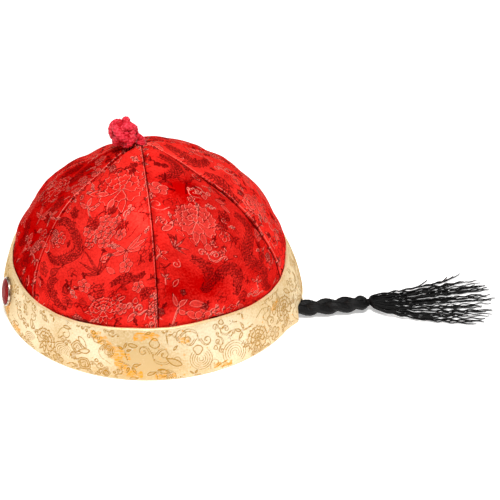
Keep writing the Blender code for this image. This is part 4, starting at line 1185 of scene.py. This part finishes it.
def tube_faces(rings, sides, start=0):
    """Quads of one tube whose points begin at start, and the polygons that close its ends."""
    walls = start + grid_quads(rings, sides, columns_close=True)
    caps = start + np.stack([np.arange(sides)[::-1], (rings - 1) * sides + np.arange(sides)])
    return walls, caps


YARN_FIBRES = (8.0, 90.0, 1.0)  # cells of noise in one unit of a yarn's map


def make_yarn(name, colour, shade, fibre_share, roughness):
    """Spun yarn: fibres along its length, lighter and darker, with little shine."""
    material, tree, shader = new_material(name)
    uv = add_node(tree, "ShaderNodeTexCoord").outputs["UV"]
    spans = add_node(tree, "ShaderNodeMapping", {"Vector": uv, "Scale": YARN_FIBRES})
    fibres = add_node(tree, "ShaderNodeTexNoise", {"Vector": spans.outputs[0], "Scale": 1.0,
                                                   "Detail": 3.0})
    share = add_node(tree, "ShaderNodeMapRange", {"Value": fibres.outputs[0], "From Min": 0.35,
                                                  "From Max": 0.65, "To Max": fibre_share})
    dyed = add_node(tree, "ShaderNodeMix", {0: share.outputs[0], 6: linear(colour), 7: linear(shade)},
                    data_type="RGBA")
    bump = add_node(tree, "ShaderNodeBump", {"Height": fibres.outputs[0], "Strength": 0.7,
                                             "Distance": 0.12 * MM})
    tree.links.new(dyed.outputs[2], shader.inputs["Base Color"])
    tree.links.new(bump.outputs[0], shader.inputs["Normal"])
    shader.inputs["Roughness"].default_value = roughness
    shader.inputs["Specular IOR Level"].default_value = 0.25
    return material


def make_cord():
    """Crimson braided cord, with painted highlights in pink and painted shade between the stitches."""
    material, tree, shader = new_material("crimson braided cord")
    painted_stitch_shading = add_node(tree, "ShaderNodeAttribute", attribute_name="painted_stitch_shading")
    dyed = add_node(tree, "ShaderNodeMix", {0: painted_stitch_shading.outputs["Fac"], 6: linear("#B80818"),
                                            7: linear("#FF3C52")}, data_type="RGBA")
    tree.links.new(dyed.outputs[2], shader.inputs["Base Color"])
    shader.inputs["Roughness"].default_value = 0.5
    shader.inputs["Specular IOR Level"].default_value = 0.25
    return material


crimson_cord = make_cord()
black_yarn = make_yarn("black wool yarn", "#020202", "#0B0909", fibre_share=0.8, roughness=0.6)
black_thread = make_yarn("black cotton thread", "#020202", "#0A0808", fibre_share=0.8, roughness=0.7)
thread_ends = make_yarn("grey-brown sewing thread", "#6A5348", "#9A8377", fibre_share=0.6, roughness=0.7)

# %% Tie the button knot
KNOT_CORE, KNOT_CORD, KNOT_WEAVE = 7.0, 2.7, 1.0  # mm
KNOT_LEAN = 8.0
KNOT_TILT, KNOT_SPIN, KNOT_LATITUDE = np.radians([14, 20, 56])
KNOT_LEADS, KNOT_BIGHTS = 3, 4
NECK_RADIUS, NECK_FLARE = 1.8, 2.0
CORD_STITCH = 2.3  # mm of cord for each of its stitches
STITCH_COLUMNS, STITCH_SLANT = 5, 1.2  # round the cord
STITCH_FOOT, STITCH_HEIGHT = 0.40, 0.62  # mm below the cord's size, and mm that a stitch stands up
LOOP_STEPS, CORD_SIDES, NECK_SIDES, BALL_SIDES, BALL_RINGS = 860, 36, 20, 32, 15
THREAD_ENDS, THREAD_END_RADIUS, THREAD_END_SIDES = 5, 0.22, 6


def crown_normal(azimuth, climb):
    """Outward direction of the crown's face, by small differences."""
    along = crown_point(azimuth + 0.004, climb) - crown_point(azimuth - 0.004, climb)
    up = crown_point(azimuth, climb + 0.004) - crown_point(azimuth, climb - 0.004)
    return unit(np.cross(along, up))


def knot_centre():
    """Centre of the ball, leaning forward so that its cord just clears the crown."""
    reach = CUFF_TOP_HALF[1] - CUFF_WALL - CLOTH_CLEARANCE - CUFF_TOP_SHIFT_Y + APEX[1]
    climb = np.arccos(KNOT_LEAN / reach) / TOP_ANGLE
    ball = KNOT_CORE + KNOT_WEAVE + KNOT_CORD + CLOTH_CLEARANCE
    return crown_point(0.0, climb) + crown_normal(0.0, climb) * ball


def knot_loop():
    """The cord's closed path on the ball in mm: longitude turns evenly, latitude follows a cosine and
    the radius a sine twice as fast. The whole path is then tilted."""
    turn = np.linspace(0, 2 * np.pi, LOOP_STEPS, endpoint=False)
    longitude = KNOT_LEADS * turn + KNOT_SPIN
    latitude = KNOT_LATITUDE * np.cos(KNOT_BIGHTS * turn)
    radius = KNOT_CORE + KNOT_WEAVE * np.sin(2 * KNOT_BIGHTS * turn)
    x, y = radius * np.cos(latitude) * np.cos(longitude), radius * np.cos(latitude) * np.sin(longitude)
    z = radius * np.sin(latitude)
    return np.stack([x, y * np.cos(KNOT_TILT) - z * np.sin(KNOT_TILT),
                     y * np.sin(KNOT_TILT) + z * np.cos(KNOT_TILT)], axis=1)


def stitches_on(along):
    """How far each point of the cord stands up, from 0 to 1: columns of slanted stitches."""
    count = round(float(along[-1]) / CORD_STITCH)
    column = STITCH_COLUMNS * np.linspace(0, 1, CORD_SIDES, endpoint=False)
    slant = STITCH_SLANT * np.abs(column % 1 - 0.5)
    relief = 0.5 + 0.5 * np.cos(2 * np.pi * (count * along[:, None] / along[-1] + slant))
    return relief * (0.55 + 0.45 * np.cos(2 * np.pi * column) ** 2)


def neck_and_threads(centre):
    """Path, radius and sides of the neck, of the ball that fills the knot and of a few thread ends."""
    foot = np.array([*APEX, CUFF_HEIGHT + CROWN_RISE + CLOTH_CLEARANCE])
    rise = np.array([0, 0, 2 * NECK_RADIUS])
    neck = smooth_line([foot, foot + rise, (foot + centre) / 2 + rise, centre], 6)
    flare = np.interp(np.linspace(0, 1, len(neck)), [0, 0.33, 1], [NECK_FLARE, 1, 1])[:, None]
    ball = centre + np.linspace(-1, 1, BALL_RINGS)[:, None] * [0, 0, KNOT_CORE]
    round_off = np.sqrt(np.clip(1 - np.linspace(-0.995, 0.995, BALL_RINGS) ** 2, 0, 1))[:, None]
    tubes = [(neck, NECK_RADIUS * flare, NECK_SIDES), (ball, KNOT_CORE * round_off, BALL_SIDES)]
    chance = np.random.default_rng(8)
    for _ in range(THREAD_ENDS):
        start = foot + [*chance.uniform(-3, 3, 2), 0.2]
        bend = start + [*chance.uniform(-4, 5, 2), chance.uniform(0.6, 2.4)]
        end = bend + [*chance.uniform(-3, 3, 2), chance.uniform(-1.8, -0.6)]
        tubes.append((smooth_line([start, bend, end]), THREAD_END_RADIUS, THREAD_END_SIDES))
    return tubes


def make_knot():
    """The stitched cord along its loop, with the ball, the neck and the thread ends in one mesh."""
    centre, loop = knot_centre(), knot_loop()
    along = np.cumsum(np.linalg.norm(loop - np.roll(loop, 1, axis=0), axis=1))
    relief = stitches_on(along)
    cord = KNOT_CORD - STITCH_FOOT + STITCH_HEIGHT * relief
    closed = np.vstack([loop[-1:], loop, loop[:1]])
    cord = np.vstack([cord[-1:], cord, cord[:1]])
    rings = tube_points(closed, unit(closed), cord, CORD_SIDES)[1:-1]
    around = np.linspace(0, 1, CORD_SIDES, endpoint=False)
    points = [rings.reshape(-1, 3) + centre]
    faces = [grid_quads(LOOP_STEPS, CORD_SIDES, rows_close=True, columns_close=True)]
    flats = [np.stack(np.broadcast_arrays(10 * around, along[:, None] / 10), axis=-1).reshape(-1, 2)]
    ends, is_thread = [], []
    for number, (path, thick, sides) in enumerate(neck_and_threads(centre)):
        first = sum(len(part) for part in points)
        points.append(tube_points(path, np.array([0.3, 1.0, 0.1]), thick, sides).reshape(-1, 3))
        walls, caps = tube_faces(len(path), sides, first)
        flats.append(points[-1][:, :2] / 10)
        faces.append(walls)
        ends.append(caps)
        is_thread += [number > 1] * len(walls)
    looks = np.concatenate([np.zeros(len(faces[0])), is_thread, np.repeat(np.arange(len(ends)) > 1, 2)])
    # Painted light and shade: pink on the stitches that face outwards, darker between them and near
    # the ball, and pink on every other ring of the neck
    standing = np.clip((np.linalg.norm(rings, axis=-1) - KNOT_CORE - 0.3) / 2.6, 0, 1)
    painted_stitch_shading = 0.7 * (np.arange(sum(len(part) for part in points)) // NECK_SIDES % 2)
    painted_stitch_shading[:relief.size] = ((0.25 + 0.75 * relief) * standing).ravel()
    knot = add_piece("knot", np.concatenate(points) * MM, faces + ends, [crimson_cord, thread_ends],
                     np.concatenate(flats), {"painted_stitch_shading": painted_stitch_shading}, looks)
    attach(knot, "root")
    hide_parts("button_knot")
    return centre


ball_centre = make_knot()
print("the knot's ball is", round(float(ball_centre[2])), "mm up")

# %% [markdown]
# ## The stone in its bezel
# The bezel is a shallow cup turned from sheet metal, with its rim rubbed over the stone's girdle
# and its back shaped to the cuff. The stone is pressed glass, cut with a ring of kite facets round
# a flat table. Both lean as the cuff does.

# %% Silver and red glass
JEWEL_AZIMUTH, JEWEL_HEIGHT = np.radians(6), 18.4
BEZEL_RADIUS, BEZEL_WALL, BEZEL_DEPTH, BEZEL_FLOOR = 9.9, 1.1, 0.8, 0.4
STONE_CLEARANCE, STONE_HEIGHT, STONE_GIRDLE = 0.15, 1.9, 0.7
STONE_BACK_SHARE, STONE_TABLE_SHARE = 0.92, 0.52
BEZEL_SIDES, BEADS, BEAD_HEIGHT = 144, 36, 0.06
STONE_CORNERS = 16
TARNISH_PATCHES, GLASS_SWIRLS = 420.0, 260.0  # cells of noise in a metre: 2.4 mm and 4 mm


def make_silver():
    """Worn plated silver: bright where it's rubbed, with brown tarnish in soft patches."""
    material, tree, shader = new_material("tarnished silver plate")
    place = add_node(tree, "ShaderNodeTexCoord").outputs["Object"]
    cloudy = add_node(tree, "ShaderNodeTexNoise", {"Vector": place, "Scale": TARNISH_PATCHES,
                                                   "Detail": 4.0})
    share = add_node(tree, "ShaderNodeMapRange", {"Value": cloudy.outputs[0], "From Min": 0.4,
                                                  "From Max": 0.7})
    tint = add_node(tree, "ShaderNodeMix", {0: share.outputs[0], 6: linear("#D9CDBE"),
                                            7: linear("#6B4334")}, data_type="RGBA")
    rough = add_node(tree, "ShaderNodeMapRange", {"Value": cloudy.outputs[0], "To Min": 0.15,
                                                  "To Max": 0.45})
    tree.links.new(tint.outputs[2], shader.inputs["Base Color"])
    tree.links.new(rough.outputs[0], shader.inputs["Roughness"])
    shader.inputs["Metallic"].default_value = 1.0
    return material


def make_glass():
    """Dark red pressed glass over a foil back: deep colour, sharp reflections, slightly uneven."""
    material, tree, shader = new_material("red pressed glass")
    place = add_node(tree, "ShaderNodeTexCoord").outputs["Object"]
    swirl = add_node(tree, "ShaderNodeTexNoise", {"Vector": place, "Scale": GLASS_SWIRLS,
                                                  "Detail": 2.0})
    tint = add_node(tree, "ShaderNodeMix", {0: swirl.outputs[0], 6: linear("#5E0508"),
                                            7: linear("#9A1A1C")}, data_type="RGBA")
    tree.links.new(tint.outputs[2], shader.inputs["Base Color"])
    shader.inputs["Roughness"].default_value = 0.18
    shader.inputs["Metallic"].default_value = 0.75
    shader.inputs["Specular Tint"].default_value = linear("#B83030")
    return material


silver_plate, red_glass = make_silver(), make_glass()


def jewel_frame():
    """Centre on the cuff, in mm, and the jewel's right, up and outward directions, by small
    differences."""
    turn, height = JEWEL_AZIMUTH, JEWEL_HEIGHT
    across = cuff_point(turn + 0.004, height) - cuff_point(turn - 0.004, height)
    rising = cuff_point(turn, height + 0.14) - cuff_point(turn, height - 0.14)
    right, outward = unit(across), unit(np.cross(across, rising))
    return cuff_point(turn, height), right, np.cross(outward, right), outward


def on_cuff(points, outward):
    """Points moved along the jewel's axis, a little nearer each time, until they lie just outside
    the cuff."""
    for _ in range(12):
        height = np.clip(points[:, 2], 0, CUFF_HEIGHT)
        back = points[:, 1] - CUFF_TOP_SHIFT_Y * height / CUFF_HEIGHT
        azimuth = np.arctan2(points[:, 0] / RIM_HALF[0], -back / RIM_HALF[1])
        face = cuff_point(azimuth, height)
        off = np.hypot(points[:, 0], points[:, 1]) - np.hypot(face[:, 0], face[:, 1])
        points = points + outward * (CLOTH_CLEARANCE - off)[:, None]
    return points


def make_bezel():
    """Rings from the back, up the outer wall, over a rounded lip with fine beads, and in to the
    floor. Gives back how far outside the jewel's centre the floor is."""
    centre, right, up, outward = jewel_frame()
    turn = np.linspace(0, 2 * np.pi, BEZEL_SIDES, endpoint=False)[:, None]
    around = np.cos(turn) * right + np.sin(turn) * up
    seat = BEZEL_RADIUS - BEZEL_WALL
    back = [on_cuff(centre + around * radius, outward) for radius in (0.5, seat / 2, BEZEL_RADIUS - 0.2)]
    deepest = max(float(np.max((ring - centre) @ outward)) for ring in back)
    floor = deepest + BEZEL_FLOOR
    lip = floor + BEZEL_DEPTH
    bead = BEAD_HEIGHT * np.cos(BEADS * turn)
    rings = back
    for rise in (0.1, 0.5, 0.8):
        wall = on_cuff(centre + around * BEZEL_RADIUS, outward)
        out = ((wall - centre) @ outward)[:, None]
        out = out + (lip - BEZEL_WALL / 2 - out) * rise
        rings.append(centre + around * BEZEL_RADIUS + outward * out)
    for angle in np.radians(np.arange(0, 181, 20)):
        radius = BEZEL_RADIUS - BEZEL_WALL / 2 * (1 - np.cos(angle))
        raised = lip - BEZEL_WALL / 2 + (BEZEL_WALL / 2 + bead) * np.sin(angle)
        rings.append(centre + around * radius + outward * raised)
    rings.append(centre + around * seat + outward * floor)
    rings.append(centre + around * 0.5 + outward * floor)
    faces, caps = tube_faces(len(rings), BEZEL_SIDES)
    bezel = add_piece("bezel", np.concatenate(rings) * MM, [faces, caps], [silver_plate])
    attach(bezel, "root")
    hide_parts("jewel_setting")
    return floor


def make_stone(floor):
    """Flat back, girdle, kite facets and table, each facet flat: three rings of sixteen corners,
    then two of eight."""
    centre, right, up, outward = jewel_frame()
    base = centre + outward * (floor + STONE_CLEARANCE)
    radius = BEZEL_RADIUS - BEZEL_WALL - STONE_CLEARANCE
    turn = np.linspace(0, 2 * np.pi, STONE_CORNERS, endpoint=False)
    half, between = turn[::2], turn[1::2]
    crown = STONE_HEIGHT - STONE_GIRDLE
    levels = ((STONE_BACK_SHARE, 0.0, turn), (1.0, STONE_GIRDLE / 2, turn), (1.0, STONE_GIRDLE, turn),
              ((1 + STONE_TABLE_SHARE) / 2, STONE_GIRDLE + 0.7 * crown, between),
              (STONE_TABLE_SHARE, STONE_HEIGHT, half))
    points = [base + radius * share * (np.cos(angles)[:, None] * right + np.sin(angles)[:, None] * up)
              + outward * height for share, height, angles in levels]
    facet = np.arange(STONE_CORNERS // 2)
    girdle, kites, table = 2 * STONE_CORNERS, 3 * STONE_CORNERS, 7 * STONE_CORNERS // 2
    corner, middle = girdle + 2 * facet, girdle + 2 * facet + 1
    far_corner = girdle + (2 * facet + 2) % STONE_CORNERS
    kite, top, next_top = kites + facet, table + facet, table + (facet + 1) % len(facet)
    sorts = [(corner, middle, kite), (middle, far_corner, kite), (corner, kite, top),
             (far_corner, next_top, kite), (top, kite, next_top)]
    facets = np.concatenate([np.stack(sort, axis=1) for sort in sorts])
    walls = grid_quads(3, STONE_CORNERS, columns_close=True)
    flats = [np.arange(STONE_CORNERS)[None, ::-1], table + facet[None]]
    stone = add_piece("stone", np.concatenate(points) * MM, [walls, facets, *flats], [red_glass])
    stone.data.shade_flat()
    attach(stone, "root")
    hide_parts("jewel_stone")


make_stone(make_bezel())

# %% [markdown]
# ## The plait
# Three strands swing from side to side and over one another. Sideways each strand follows a sine,
# and up and down a sine twice as fast, a third of a period apart: that's all a plait is. Each
# strand is a bundle of yarns, so its section has a lobe for each yarn and the lobes twist slowly.

# %% Plait three strands along the route
PLAIT_PERIOD = 39.0  # mm for one strand to swing out and back
PLAIT_SWING, PLAIT_LIFT, STRAND_RADIUS = 2.5, 1.3, 3.15
DRAWN_IN = 0.55  # of a strand's size that is left where the plait is drawn in to nothing
YARN_LOBES, YARN_TWIST = 9, 3.4  # round a strand, and mm for each radian that they turn
PLAIT_STEPS, STRAND_SIDES = 24, 54
UPWARDS = np.array([0.0, 0.0, 1.0])


def make_plait():
    """Three closed tubes along the route, with yarn lobes and ends drawn in."""
    route = smooth_line(PLAIT_POINTS, PLAIT_STEPS)
    along = np.concatenate([[0], np.cumsum(np.linalg.norm(np.diff(route, axis=0), axis=1))])
    side, up = frames_along(route, UPWARDS)
    open_share = np.interp(along / along[-1], [0, 0.03, 0.95, 1], [0.7, 1, 1, 0.4])[:, None]
    slim = DRAWN_IN + (1 - DRAWN_IN) * open_share
    around = np.linspace(0, 2 * np.pi, STRAND_SIDES, endpoint=False)[None, :]
    points, faces, ends, flats = [], [], [], []
    for strand in range(3):
        phase = 2 * np.pi * (along / PLAIT_PERIOD + strand / 3)[:, None]
        swing = PLAIT_SWING * np.sin(phase) * (1.5 - 0.5 * np.sin(phase) ** 2)
        path = route + open_share * (swing * side + PLAIT_LIFT * np.sin(2 * phase) * up)
        path[:, 2] = np.maximum(path[:, 2], STRAND_RADIUS * slim[:, 0] + 0.1)
        twist = YARN_LOBES * around + along[:, None] / YARN_TWIST
        lobes = 0.93 + 0.10 * np.abs(np.cos(twist / 2)) + 0.02 * np.sin(3 * along[:, None] + 5 * around)
        thick = STRAND_RADIUS * lobes * slim
        points.append(tube_points(path, UPWARDS, thick, STRAND_SIDES).reshape(-1, 3))
        walls, caps = tube_faces(len(path), STRAND_SIDES, strand * len(path) * STRAND_SIDES)
        faces.append(walls)
        ends.append(caps)
        flat = np.stack(np.broadcast_arrays(along[:, None] / 40, around / 2 + strand), axis=-1)
        flats.append(flat.reshape(-1, 2))
    plait = add_piece("plait", np.concatenate(points) * MM, faces + ends, [black_yarn],
                      np.concatenate(flats))
    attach(plait, "root")
    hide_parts("queue_braid")
    return plait, route, unit(route[-1] - route[-2])


plait, plait_route, plait_ahead = make_plait()

# %% [markdown]
# ## The binding and the tassel
# Thread wound round the plait's end holds it. Beyond it the yarns come loose, keep the waves of the
# plait and spread into a flat fan, each settling on the ground.

# %% Wind the binding and fan out the tassel
PIECE_CLEARANCE = 0.3
TIE_LENGTH, TIE_RADIUS = 2.2, 2.6
TASSEL_LENGTH = 87.2
TASSEL_STRANDS = 56
FAN_LEFT, FAN_RIGHT = -25.0, 33.0  # mm off the plait's line where the outermost strands end
TIE_TURNS, TIE_STEPS, TIE_SIDES = 6, 61, 48
HEAD_RADIUS, HEAD_HALF_WIDTH = 2.0, 1.6  # mm, of the bundle where the strands come loose
GOLDEN_STEP = 0.618  # spreads the strands evenly, with neighbours never one after the other
STRAND_STEPS, YARN_SIDES = 40, 5
SETTLED_AFTER = 30  # mm
TIP_CURL, CURLED = -5.0, -0.88  # mm that the outermost tips curl aside, and which strands are those
AIM_JITTER, AIM_LIMITS = 0.07, (-1.12, 1.05)  # where -1 and 1 are the fan's sides
SHORTER_BY_CHANCE, SHORTER_ASIDE = 0.35, 0.16  # shares of the tassel's length
FAN_POWERS = (0.44, 0.60)  # the smaller, the sooner a strand turns aside
WAVE_LENGTHS, WAVE_SIZES, BOB_SIZE = (9.5, 11), (0.3, 0.8), 0.5  # mm
YARN_RADII = (0.36, 0.50)
LAYERS = ([0, 0.4, 1], [5.0, 2.4, 0.3])  # share of a strand, and mm that the top ones lie above it


def make_binding():
    """A barrel whose radius ripples once for each turn of the thread, shifted round like a screw."""
    steps = np.linspace(0, 1, TIE_STEPS)[:, None]
    start = plait_route[-1] + plait_ahead * PIECE_CLEARANCE
    path = start + plait_ahead * TIE_LENGTH * steps
    around = np.linspace(0, 1, TIE_SIDES, endpoint=False)[None, :]
    ripple = np.abs(np.sin(np.pi * (TIE_TURNS * steps + around)))
    barrel = 0.90 + 0.10 * ripple - 0.25 * (2 * np.abs(steps - 0.5)) ** 6
    points = tube_points(path, UPWARDS, TIE_RADIUS * barrel, TIE_SIDES)
    flats = np.stack(np.broadcast_arrays(3 * around, 0.3 * steps), axis=-1).reshape(-1, 2)
    faces, caps = tube_faces(len(path), TIE_SIDES)
    binding = add_piece("binding", points.reshape(-1, 3) * MM, [faces, caps], [black_thread], flats)
    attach(binding, "root")
    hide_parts("queue_tie")
    return binding, path[-1] + plait_ahead * PIECE_CLEARANCE


def tassel_strand(strand, start, side, chance):
    """Path, radius and length of one wavy strand, in mm. Sideways it follows a power of its length, so
    that the fan opens at once and then runs on. It sinks to the ground within a third of its length."""
    aim = 2 * (strand * GOLDEN_STEP % 1) - 1
    across = HEAD_HALF_WIDTH * aim
    lift = chance.uniform(-1, 1) * np.sqrt(HEAD_RADIUS ** 2 - across ** 2)
    aim = np.clip(aim + chance.normal(0, AIM_JITTER), *AIM_LIMITS)
    spread = (FAN_RIGHT if aim > 0 else -FAN_LEFT) * aim
    shorter = SHORTER_BY_CHANCE * chance.uniform(0, 1) ** 2
    reach = TASSEL_LENGTH * (1 - shorter - SHORTER_ASIDE * aim ** 2)
    share = np.linspace(0, 1, STRAND_STEPS)
    length = reach * share
    opened = (length / TASSEL_LENGTH) ** chance.uniform(*FAN_POWERS)
    wave, phase = chance.uniform(*WAVE_LENGTHS), chance.uniform(0, 1.6, 2) + 2.5 * aim
    grown = np.clip(share * 4, 0, 1)
    swing = chance.uniform(*WAVE_SIZES) * np.sin(2 * np.pi * length / wave + phase[0]) * grown
    curl = TIP_CURL * np.clip((share - 0.8) / 0.2, 0, 1) ** 2 * (aim < CURLED)
    sideways = across * (1 - grown) + spread * opened + swing + curl
    settle = np.clip(length / SETTLED_AFTER, 0, 1) ** 0.7
    thick = chance.uniform(*YARN_RADII)
    layer = chance.uniform(0, 1) ** 1.5 * np.interp(share, *LAYERS)
    bob = BOB_SIZE * np.sin(2 * np.pi * length / wave * 1.3 + phase[1]) * grown * (1 - 0.7 * share)
    height = (start[2] + lift) * (1 - settle) + (0.35 + layer + bob) * settle
    path = start + plait_ahead * length[:, None] + side * sideways[:, None]
    path[:, 2] = np.maximum(height, 0.15) + thick
    return path, thick * np.interp(share, [0, 0.93, 1], [1, 0.95, 0.6])[:, None], length


def make_tassel(start):
    """Wavy strands from one round head, each a tapered tube. Neighbours wave together."""
    chance = np.random.default_rng(21)
    side = unit(np.cross(plait_ahead, UPWARDS))
    around = np.linspace(0, 1, YARN_SIDES, endpoint=False)[None, :]
    points, faces, ends, flats = [], [], [], []
    for strand in range(TASSEL_STRANDS):
        path, thick, length = tassel_strand(strand, start, side, chance)
        points.append(tube_points(path, UPWARDS, thick, YARN_SIDES).reshape(-1, 3))
        flat = np.stack(np.broadcast_arrays(length[:, None] / 40, around + strand), axis=-1)
        flats.append(flat.reshape(-1, 2))
        walls, caps = tube_faces(STRAND_STEPS, YARN_SIDES, strand * STRAND_STEPS * YARN_SIDES)
        faces.append(walls)
        ends.append(caps)
    tassel = add_piece("tassel", np.concatenate(points) * MM, faces + ends, [black_yarn],
                       np.concatenate(flats))
    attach(tassel, "root")
    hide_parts("queue_tassel")
    return tassel


binding, tassel_start = make_binding()
tassel = make_tassel(tassel_start)
plait_length = np.linalg.norm(np.diff(plait_route, axis=0), axis=1).sum()
print("the plait is", round(float(plait_length), 1), "mm long")

# %% [markdown]
# ## The ground and the light
# The cap stands on white paper under a large soft light from the camera's side and a broad one
# above. The white surroundings fill in the shadows, and the paper glows, painted light that lifts
# the shadows round the cap.

# %% Lay the paper and hang the lights
PAPER_HALF = 4.0
# Painted light: strength of the paper's glow
GLOW_NEAR, GLOW_FAR = 0.42, 1.0  # light from below near the cap, where it has a shadow, and far off
ROOM_LIGHT, ROOM_SEEN = 0.12, 1.0


def add_ground():
    """A plain sheet of paper under the cap with painted light: it glows, more the farther it is from the
    cap.
    """
    material, tree, shader = new_material("white paper")
    shader.inputs["Base Color"].default_value = linear("#F7F6F5")
    shader.inputs["Roughness"].default_value = 0.9
    shader.inputs["Emission Color"].default_value = linear("#FFFFFF")
    place = add_node(tree, "ShaderNodeTexCoord").outputs["Object"]
    distance = add_node(tree, "ShaderNodeVectorMath", {0: place}, operation="LENGTH")
    glow = add_node(tree, "ShaderNodeMapRange", {"Value": distance.outputs["Value"], "From Min": 0.4,
                                                 "From Max": 1.8, "To Min": GLOW_NEAR,
                                                 "To Max": GLOW_FAR})
    tree.links.new(glow.outputs[0], shader.inputs["Emission Strength"])
    corners = PAPER_HALF * np.array([(-1, -1, 0), (1, -1, 0), (1, 1, 0), (-1, 1, 0)])
    return add_piece("ground", corners, [np.array([[0, 1, 2, 3]])], [material])


def add_area_light(name, place, aim, power, size):
    """A square light at a place, turned towards its aim."""
    data = bpy.data.lights.new(name, "AREA")
    data.energy = power
    data.size = size
    lamp = bpy.data.objects.new(name, data)
    lamp.location = place
    lamp.rotation_euler = (Vector(aim) - Vector(place)).to_track_quat("-Z", "Y").to_euler()
    bpy.context.collection.objects.link(lamp)
    return lamp


def add_surroundings():
    """White all round: bright to the camera, softer as light on the cap."""
    world = bpy.data.worlds.new("white room")
    bpy.context.scene.world = world
    world.use_nodes = True
    tree = world.node_tree
    path = add_node(tree, "ShaderNodeLightPath")
    strength = add_node(tree, "ShaderNodeMapRange", {"Value": path.outputs["Is Camera Ray"],
                                                     "To Min": ROOM_LIGHT, "To Max": ROOM_SEEN})
    back = tree.nodes["Background"]
    back.inputs["Color"].default_value = linear("#FFFFFF")
    tree.links.new(strength.outputs[0], back.inputs["Strength"])


ground = add_ground()
key = add_area_light("soft key", (0.56, -0.06, 1.8), (0, 0.03, 0.05), 36.0, 0.6)
above = add_area_light("soft top", (-0.2, 0.2, 1.8), (0, 0.05, 0.03), 6.0, 1.3)
add_surroundings()
bpy.context.scene.view_settings.view_transform = "Standard"
